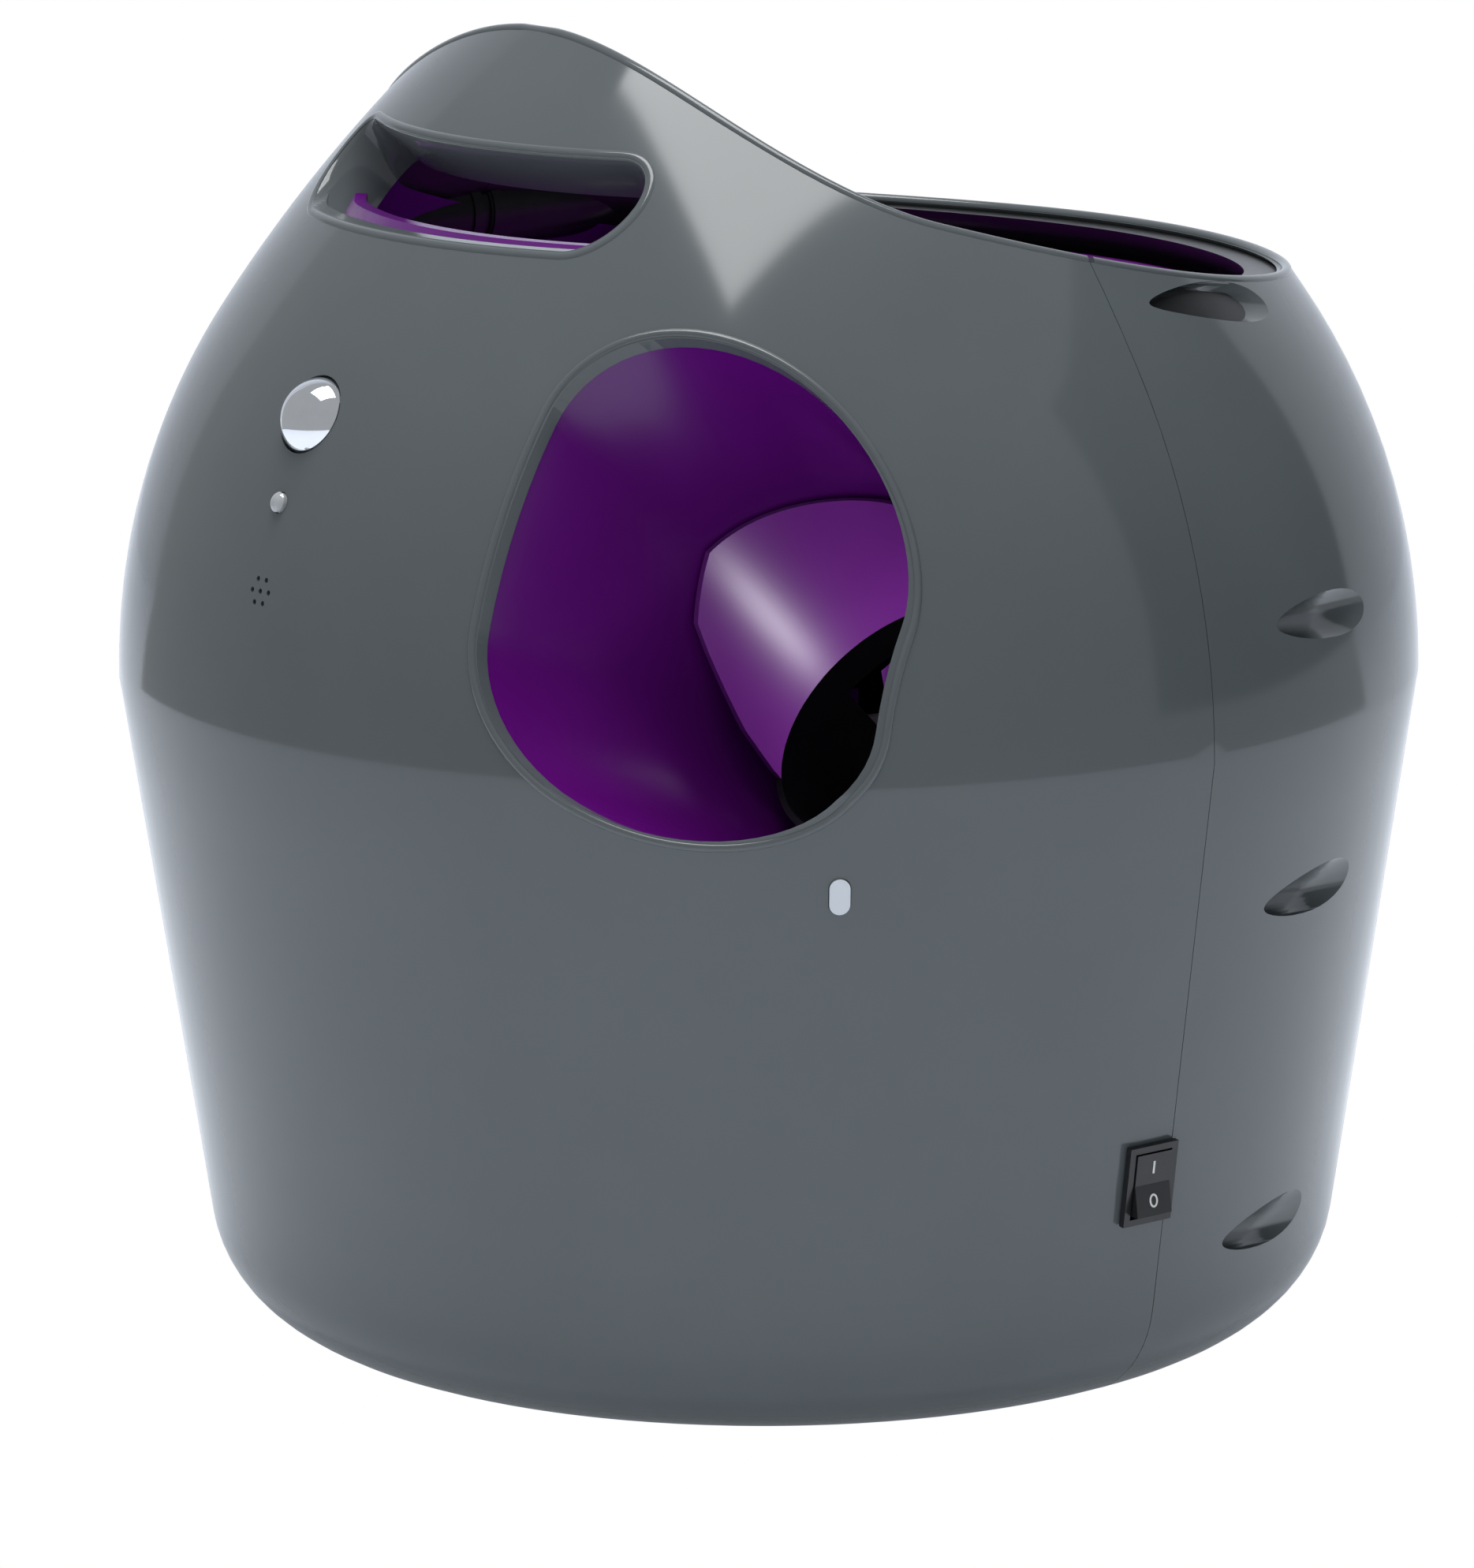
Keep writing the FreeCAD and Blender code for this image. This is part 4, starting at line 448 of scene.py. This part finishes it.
def sleeve(name, side, start, end, radius):
    """A round bar along Y, pulled in where it would pass the shell or stand above the rim."""
    steps = max(2, int((end - start) / SLEEVE_STEP))
    path = [Vector((side * sleeve_x, start + (end - start) * k / steps, BOSS_HEIGHT))
            for k in range(steps + 1)]
    points, faces = sweep(path, [Vector((0, 0, 1))] * len(path),
                          round_profile(radius, sides=32), False)
    for place in points:
        place.z = min(place.z, rim_height(place.y) - RIM_GAP)
        reach, limit = math.hypot(place.x, place.y), skin_radius(place.z) - SKIN_GAP
        if reach > limit:
            place.x, place.y = place.x * limit / reach, place.y * limit / reach
    add_piece(name, points, faces, "black_plastic")


for label, side in (("left", -1), ("right", 1)):
    sleeve(f"{label}_boss_front", side, SLEEVE_START, -JOINT_HALF, SLEEVE_RADIUS)
    sleeve(f"{label}_boss_joint", side, -JOINT_HALF, JOINT_HALF, SLEEVE_RADIUS - JOINT_DEPTH)
    sleeve(f"{label}_boss_rear", side, JOINT_HALF, SLEEVE_END, SLEEVE_RADIUS)
    sleeve(f"{label}_boss_ring_front", side, -RING_FAR, -RING_NEAR, SLEEVE_RADIUS + RING_HEIGHT)
    sleeve(f"{label}_boss_ring_rear", side, RING_NEAR, RING_FAR, SLEEVE_RADIUS + RING_HEIGHT)


# Bowl cove: a sloped foot between the bowl's wall and its floor.
COVE_FROM, COVE_TO, COVE_STEP, COVE_TAPER = 48, 168, 3, 14
COVE_SLOPE, COVE_RINGS = 1.15, 4
COVE_DROP, COVE_INSET, COVE_BACK = 0.0085, 0.0165, 0.001
FLOOR_HEIGHT, FLOOR_SLOPE = 0.24, 0.09


def cove_section(turn):
    """Corners of the cove at an angle round the bowl, shrunk towards both its ends."""
    angle = math.radians(turn)
    reach = 0.127
    for _ in range(6):
        top = rim_height(reach * math.sin(angle)) - COVE_DROP
        reach = skin_radius(top) - COVE_INSET
    floor = FLOOR_HEIGHT - FLOOR_SLOPE * reach * math.cos(angle)
    size = min(1, (turn - COVE_FROM) / COVE_TAPER, (COVE_TO - turn) / COVE_TAPER)
    depth = (top - floor) * max(size, 0.05)
    corners = [(reach - depth * COVE_SLOPE * k / COVE_RINGS, floor + depth * (1 - k / COVE_RINGS))
               for k in range(COVE_RINGS + 1)]
    corners += [(reach + COVE_BACK, floor - COVE_BACK), (reach + COVE_BACK, floor + depth)]
    return [Vector((out * math.cos(angle), out * math.sin(angle), height))
            for out, height in corners]


sections = [cove_section(turn) for turn in range(COVE_FROM, COVE_TO + 1, COVE_STEP)]
add_piece("bowl_cove", [corner for section in sections for corner in section],
          loft_faces(len(sections), len(sections[0]), False), "purple")


# Switch marks: a white I and O on the rocker's two faces, as in the photo.
SWITCH_HEIGHT, SWITCH_TURN = 0.0648, 87.3
ROCKER_PIN, ROCKER_TILT = 0.0005, -8
ROCKER_DIP, FACE_SLOPE = 0.0023, math.atan((3.4 - 2.3) / 7.8)
PRINT_LOW, PRINT_HIGH = -0.0001, 0.00008
MARK_REACH, MARK_LINE = 0.0042, 0.0005
side_tilt = -math.degrees(math.atan(FLARE))
switch_radius = skin_radius(SWITCH_HEIGHT)
switch_place = (
    Matrix.Translation((switch_radius * math.sin(math.radians(SWITCH_TURN)),
                        -switch_radius * math.cos(math.radians(SWITCH_TURN)), SWITCH_HEIGHT))
    @ Matrix.Rotation(math.radians(SWITCH_TURN), 4, "Z")
    @ Matrix.Rotation(math.radians(90 - side_tilt), 4, "X")
    @ Matrix.Translation((0, 0, -ROCKER_PIN))
    @ Matrix.Rotation(math.radians(ROCKER_TILT), 4, "X")
    @ Matrix.Translation((0, 0, ROCKER_PIN)))


def on_rocker(x, y, lift):
    """A place on the rocker's faces, given across, along and above them."""
    rise = ROCKER_DIP + abs(y) * math.tan(FACE_SLOPE) + lift
    return switch_place @ Vector((x, y, rise))


def ring_mark(centre, wide, tall, count):
    """A flat oval ring whose points lie on the rocker."""
    points, faces = [], []
    for k in range(count):
        angle = 2 * math.pi * k / count
        for size in (0, -MARK_LINE):
            for lift in (PRINT_LOW, PRINT_HIGH):
                points.append(on_rocker((wide + size) * math.cos(angle),
                                        centre + (tall + size) * math.sin(angle), lift))
    for k in range(count):
        here, after = 4 * k, 4 * ((k + 1) % count)
        for a, b in ((0, 1), (1, 3), (3, 2), (2, 0)):
            faces.append((here + a, here + b, after + b, after + a))
    return points, faces


add_piece("mark_off", *ring_mark(-MARK_REACH, 0.0013, 0.0017, 24), "white_acetal", "rocker")
bar = [on_rocker(x, MARK_REACH + y, lift) for x in (-0.0003, 0.0003)
       for y in (-0.0016, 0.0016) for lift in (PRINT_LOW, PRINT_HIGH)]
BOX_FACES = [(0, 1, 3, 2), (4, 6, 7, 5), (0, 4, 5, 1), (2, 3, 7, 6), (0, 2, 6, 4), (1, 5, 7, 3)]
add_piece("mark_on", bar, BOX_FACES, "white_acetal", "rocker", smooth=False)


# Dials: numbers on the faces and a finger bar on each, with a white line on the bar.
DIAL_HEIGHT, DIAL_FACE = 0.1682, 0.1564
TEXT_RING, TEXT_SIZE, TEXT_HALF = 0.0172, 0.0052, 0.00012
ANGLE_X, ANGLE_COUNT, ANGLE_ARC = 0.046, 6, 217
DISTANCE_X, DISTANCE_COUNT, DISTANCE_ARC = -0.046, 9, -270


def flat_text(name, words):
    """Digits as a thin closed mesh in their own plane."""
    curve = bpy.data.curves.new(name, "FONT")
    curve.body = words
    curve.size = TEXT_SIZE
    curve.extrude = TEXT_HALF
    curve.align_x = "CENTER"
    curve.align_y = "CENTER"
    holder = bpy.data.objects.new(name, curve)
    scene.collection.objects.link(holder)
    bpy.context.view_layer.update()
    mesh = bpy.data.meshes.new_from_object(holder.evaluated_get(
        bpy.context.evaluated_depsgraph_get()))
    bpy.data.objects.remove(holder)
    return mesh


def dial_marks(name, body, x, count, arc):
    """Numbers that turn with a dial; the first stands at the top at rest."""
    merged = bmesh.new()
    for number in range(1, count + 1):
        mesh = flat_text(name, str(number))
        spin = arc * (number - 1) / (count - 1)
        mesh.transform(Matrix.Translation((x, DIAL_FACE, DIAL_HEIGHT))
                       @ Matrix.Rotation(math.radians(-spin), 4, "Y")
                       @ Matrix.Translation((0, 0, TEXT_RING))
                       @ Matrix.Rotation(math.radians(180), 4, "Z")
                       @ Matrix.Rotation(math.radians(90), 4, "X"))
        merged.from_mesh(mesh)
    bmesh.ops.remove_doubles(merged, verts=merged.verts[:], dist=1e-7)
    mesh = bpy.data.meshes.new(name)
    merged.to_mesh(mesh)
    merged.free()
    mesh.materials.append(finishes["white_acetal"])
    made = bpy.data.objects.new(name, mesh)
    scene.collection.objects.link(made)
    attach(made, body)


def rounded_bar(name, centre, half, finish, body, bevel):
    """A block with rounded edges."""
    work = bmesh.new()
    bmesh.ops.create_cube(work, size=2, matrix=Matrix.Translation(centre)
                          @ Matrix.Diagonal((*half, 1)))
    bmesh.ops.bevel(work, geom=work.edges[:], offset=bevel, segments=4, affect="EDGES",
                    profile=0.5)
    mesh = bpy.data.meshes.new(name)
    work.to_mesh(mesh)
    points = [vertex.co.copy() for vertex in mesh.vertices]
    faces = [tuple(polygon.vertices) for polygon in mesh.polygons]
    work.free()
    return add_piece(name, points, faces, finish, body)


for label, x, count, arc in (("angle", ANGLE_X, ANGLE_COUNT, ANGLE_ARC),
                             ("distance", DISTANCE_X, DISTANCE_COUNT, DISTANCE_ARC)):
    dial_marks(f"{label}_numbers", f"{label}_knob", x, count, arc)
    rounded_bar(f"{label}_finger_bar", (x, DIAL_FACE + 0.0022, DIAL_HEIGHT),
                (0.0026, 0.0032, 0.0125), "case_grey", f"{label}_knob", 0.0018)
    rounded_bar(f"{label}_line", (x, DIAL_FACE + 0.0054, DIAL_HEIGHT + 0.006),
                (0.0004, 0.0002, 0.005), "white_acetal", f"{label}_knob", 0.0001)


# Case halves: merged copies that take the outline's own normals, so reflections run clean.
ON_SKIN, SAME_WAY = 0.00015, 0.96
MERGE_DISTANCE, SHARP_ANGLE = 2e-6, 25


def smoothed(node):
    """A merged copy of a case half with the skin's true normals on its outside."""
    mesh = nodes[node].data.copy()
    work = bmesh.new()
    work.from_mesh(mesh)
    bmesh.ops.remove_doubles(work, verts=work.verts[:], dist=MERGE_DISTANCE)
    work.to_mesh(mesh)
    work.free()
    for polygon in mesh.polygons:
        polygon.use_smooth = True
    mesh.set_sharp_from_angle(angle=math.radians(SHARP_ANGLE))
    normals = [Vector(corner.vector) for corner in mesh.corner_normals]
    true_normals = {}
    for vertex in mesh.vertices:
        place = vertex.co
        if abs(math.hypot(place.x, place.y) - skin_radius(place.z)) < ON_SKIN:
            true_normals[vertex.index] = skin_normal(place)
    for polygon in mesh.polygons:
        for loop in polygon.loop_indices:
            true_normal = true_normals.get(mesh.loops[loop].vertex_index)
            if true_normal and polygon.normal.dot(true_normal) > SAME_WAY:
                normals[loop] = true_normal
    mesh.normals_split_custom_set(normals)
    made = bpy.data.objects.new(f"{node}_smooth", mesh)
    scene.collection.objects.link(made)
    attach(made, "root")
    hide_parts(node)


smoothed("front_shell")
smoothed("rear_shell")


# Finishes of single parts: the hood, whose purple is lightened as painted light, the three lenses,
# the cells' ends and the board's parts.
# The sensor board has its own green, because the control board's parts are toned by height.
def second_tone(made, axis, low, high, color, metallic=0.0):
    """Gives a finish another colour where a coordinate's size isn't between low and high."""
    graph = made.node_tree
    shader = graph.nodes["Principled BSDF"]
    place = graph.nodes.new("ShaderNodeTexCoord")
    parts = graph.nodes.new("ShaderNodeSeparateXYZ")
    size = graph.nodes.new("ShaderNodeMath")
    size.operation = "ABSOLUTE"
    inside = graph.nodes.new("ShaderNodeMath")
    inside.operation = "COMPARE"
    inside.inputs[1].default_value = (low + high) / 2
    inside.inputs[2].default_value = (high - low) / 2
    mix = graph.nodes.new("ShaderNodeMix")
    mix.data_type = "RGBA"
    metal = graph.nodes.new("ShaderNodeMapRange")
    metal.inputs["To Min"].default_value = metallic
    metal.inputs["To Max"].default_value = shader.inputs["Metallic"].default_value
    graph.links.new(place.outputs["Object"], parts.inputs[0])
    graph.links.new(parts.outputs[axis], size.inputs[0])
    graph.links.new(size.outputs[0], inside.inputs[0])
    graph.links.new(inside.outputs[0], mix.inputs["Factor"])
    mix.inputs[6].default_value = (*color, 1)
    graph.links.new(shader.inputs["Base Color"].links[0].from_socket, mix.inputs[7])
    graph.links.new(mix.outputs[2], shader.inputs["Base Color"])
    graph.links.new(inside.outputs[0], metal.inputs["Value"])
    graph.links.new(metal.outputs["Result"], shader.inputs["Metallic"])


second_tone(finishes["cell"], "Y", 0.0022, 0.0598, (0.62, 0.62, 0.63), 1.0)
second_tone(finishes["board_green"], "Z", 0.0, 0.0517, (0.02, 0.02, 0.022))
single_finishes = {
    # The hood's purple is lighter than the other purple parts' purple: painted light, for the light
    # that falls through the port onto the hood.
    "launch_tube": material("hood_lit_purple", (0.16, 0.02, 0.23), 0.34, grain=0.05, grain_scale=40),
    "motion_lens": material("mirror_dome", (0.8, 0.82, 0.85), 0.06, metallic=1.0, grain=0.02),
    "status_lens": material("lamp_lens", (0.75, 0.78, 0.8), 0.08, transmission=0.5, coat=1.0),
    "side_lens": material("milky_lens", (0.78, 0.83, 0.88), 0.15, transmission=0.15, coat=1.0),
    "sensor_board": material("sensor_green", (0.02, 0.16, 0.06), 0.35, grain=0.25,
                             grain_scale=120),
}
for name, finish in single_finishes.items():
    nodes[name].data.materials.clear()
    nodes[name].data.materials.append(finish)


# Hood lamp: a small strip of light in the port, for the streak down the hood's wall. It lights the
# hood alone, by light linking, and its long side runs along the barrel.
ALONG_BARREL = barrel_axes(TILT_HIGH)[0]
LAMP_PLACE, LAMP_TARGET = Vector((0.134, -0.033, 0.176)), Vector((0.070, -0.058, 0.200))
hood_lamp = softbox("hood_lamp", LAMP_PLACE, LAMP_TARGET, (0.004, 0.05), 0.05,
                    color=(0.95, 0.95, 1))
back = -(LAMP_TARGET - LAMP_PLACE).normalized()
across = ALONG_BARREL.cross(back).normalized()
lamp_turn = Matrix((across, back.cross(across), back)).transposed().to_4x4()
hood_lamp.matrix_world = Matrix.Translation(LAMP_PLACE) @ lamp_turn
hood_lamp.visible_camera = False
lit_by_lamp = bpy.data.collections.new("lit_by_hood_lamp")
lit_by_lamp.objects.link(nodes["launch_tube"])
hood_lamp.light_linking.receiver_collection = lit_by_lamp


# Main spring: a real coil that rides on the barrel, in place of the model's spring.
COIL_RADIUS, COIL_WIRE, COIL_TURNS = 0.0165, 0.0014, 7
COIL_FRONT, COIL_END = -0.0757, -0.1203
TURN_STEPS, WIRE_SIDES = 28, 10
above = barrel_axes(TILT_HIGH)[1]
coil_path, coil_out = [], []
for step in range(COIL_TURNS * TURN_STEPS + 1):
    angle = 2 * math.pi * step / TURN_STEPS
    share = step / (COIL_TURNS * TURN_STEPS)
    reach = COIL_END + COIL_WIRE + (COIL_FRONT - COIL_END - 2 * COIL_WIRE) * share
    radial = Vector((1, 0, 0)) * math.cos(angle) + above * math.sin(angle)
    coil_path.append(PIVOT + ALONG_BARREL * reach + radial * COIL_RADIUS)
    coil_out.append(radial)
wire = round_profile(COIL_WIRE, sides=WIRE_SIDES)
coil = add_piece("spring_coil", *sweep(coil_path, coil_out, wire, False), "steel", "barrel")
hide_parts("main_spring")
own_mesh(coil)


# Ticks and grip ribs: rows and rings of small blocks, spaced by one Geometry Nodes group. The
# ticks lie on a flat plane, so they don't follow the curve of the case.
def repeat_group():
    """Blocks on a line or a ring: each is turned about Y by its number times a step."""
    group = bpy.data.node_groups.new("repeated_blocks", "GeometryNodeTree")
    for socket, kind in (("Count", "Int"), ("Step", "Vector"), ("Size", "Vector"),
                         ("Offset", "Vector"), ("Turn", "Float"), ("Material", "Material")):
        group.interface.new_socket(name=socket, in_out="INPUT", socket_type=f"NodeSocket{kind}")
    group.interface.new_socket(name="Geometry", in_out="OUTPUT",
                               socket_type="NodeSocketGeometry")
    given = group.nodes.new("NodeGroupInput")
    line = group.nodes.new("GeometryNodeMeshLine")
    cube = group.nodes.new("GeometryNodeMeshCube")
    moved = group.nodes.new("GeometryNodeTransform")
    index = group.nodes.new("GeometryNodeInputIndex")
    angle = group.nodes.new("ShaderNodeMath")
    angle.operation = "MULTIPLY"
    spin = group.nodes.new("ShaderNodeCombineXYZ")
    placed = group.nodes.new("GeometryNodeInstanceOnPoints")
    real = group.nodes.new("GeometryNodeRealizeInstances")
    paint = group.nodes.new("GeometryNodeSetMaterial")
    result = group.nodes.new("NodeGroupOutput")
    link = group.links.new
    link(given.outputs["Count"], line.inputs["Count"])
    link(given.outputs["Step"], line.inputs["Offset"])
    link(given.outputs["Size"], cube.inputs["Size"])
    link(cube.outputs["Mesh"], moved.inputs["Geometry"])
    link(given.outputs["Offset"], moved.inputs["Translation"])
    link(index.outputs[0], angle.inputs[0])
    link(given.outputs["Turn"], angle.inputs[1])
    link(angle.outputs[0], spin.inputs["Y"])
    link(line.outputs["Mesh"], placed.inputs["Points"])
    link(moved.outputs["Geometry"], placed.inputs["Instance"])
    link(spin.outputs[0], placed.inputs["Rotation"])
    link(placed.outputs[0], real.inputs[0])
    link(real.outputs[0], paint.inputs["Geometry"])
    link(given.outputs["Material"], paint.inputs["Material"])
    link(paint.outputs["Geometry"], result.inputs["Geometry"])
    return group


blocks_group = repeat_group()


def repeated(name, place, finish, body, values):
    """One plain mesh of repeated blocks, moved to its place; values go to the group's inputs."""
    holder = bpy.data.objects.new(name, bpy.data.meshes.new(name))
    scene.collection.objects.link(holder)
    modifier = holder.modifiers.new("repeat", "NODES")
    modifier.node_group = blocks_group
    values["Material"] = finishes[finish]
    for item in blocks_group.interface.items_tree:
        if item.name in values:
            modifier[item.identifier] = values[item.name]
    bpy.context.view_layer.update()
    mesh = bpy.data.meshes.new_from_object(
        holder.evaluated_get(bpy.context.evaluated_depsgraph_get()))
    holder.modifiers.clear()
    mesh.transform(Matrix.Translation(place))
    holder.data = mesh
    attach(holder, body)


TICK_RING, TICK_PLANE = 0.0272, 0.1559
TICK_SIZE = (0.0007, 0.0004, 0.0022)
for label, x, count, arc in (("angle", ANGLE_X, ANGLE_COUNT, ANGLE_ARC),
                             ("distance", DISTANCE_X, DISTANCE_COUNT, DISTANCE_ARC)):
    repeated(f"{label}_ticks", (x, TICK_PLANE, DIAL_HEIGHT), "white_acetal", "root",
             {"Count": count, "Step": (0.0, 0.0, 0.0), "Size": TICK_SIZE,
              "Offset": (0.0, 0.0, TICK_RING), "Turn": math.radians(arc) / (count - 1)})
RIB_COUNT, RIB_STEP, RIB_SIZE = 8, 0.004, (0.03, 0.0014, 0.0009)
repeated("door_ribs", (0.0, -0.052, 0.0029), "case_grey", "door",
         {"Count": RIB_COUNT, "Step": (0.0, RIB_STEP, 0.0), "Size": RIB_SIZE,
          "Offset": (0.0, 0.0, 0.0), "Turn": 0.0})
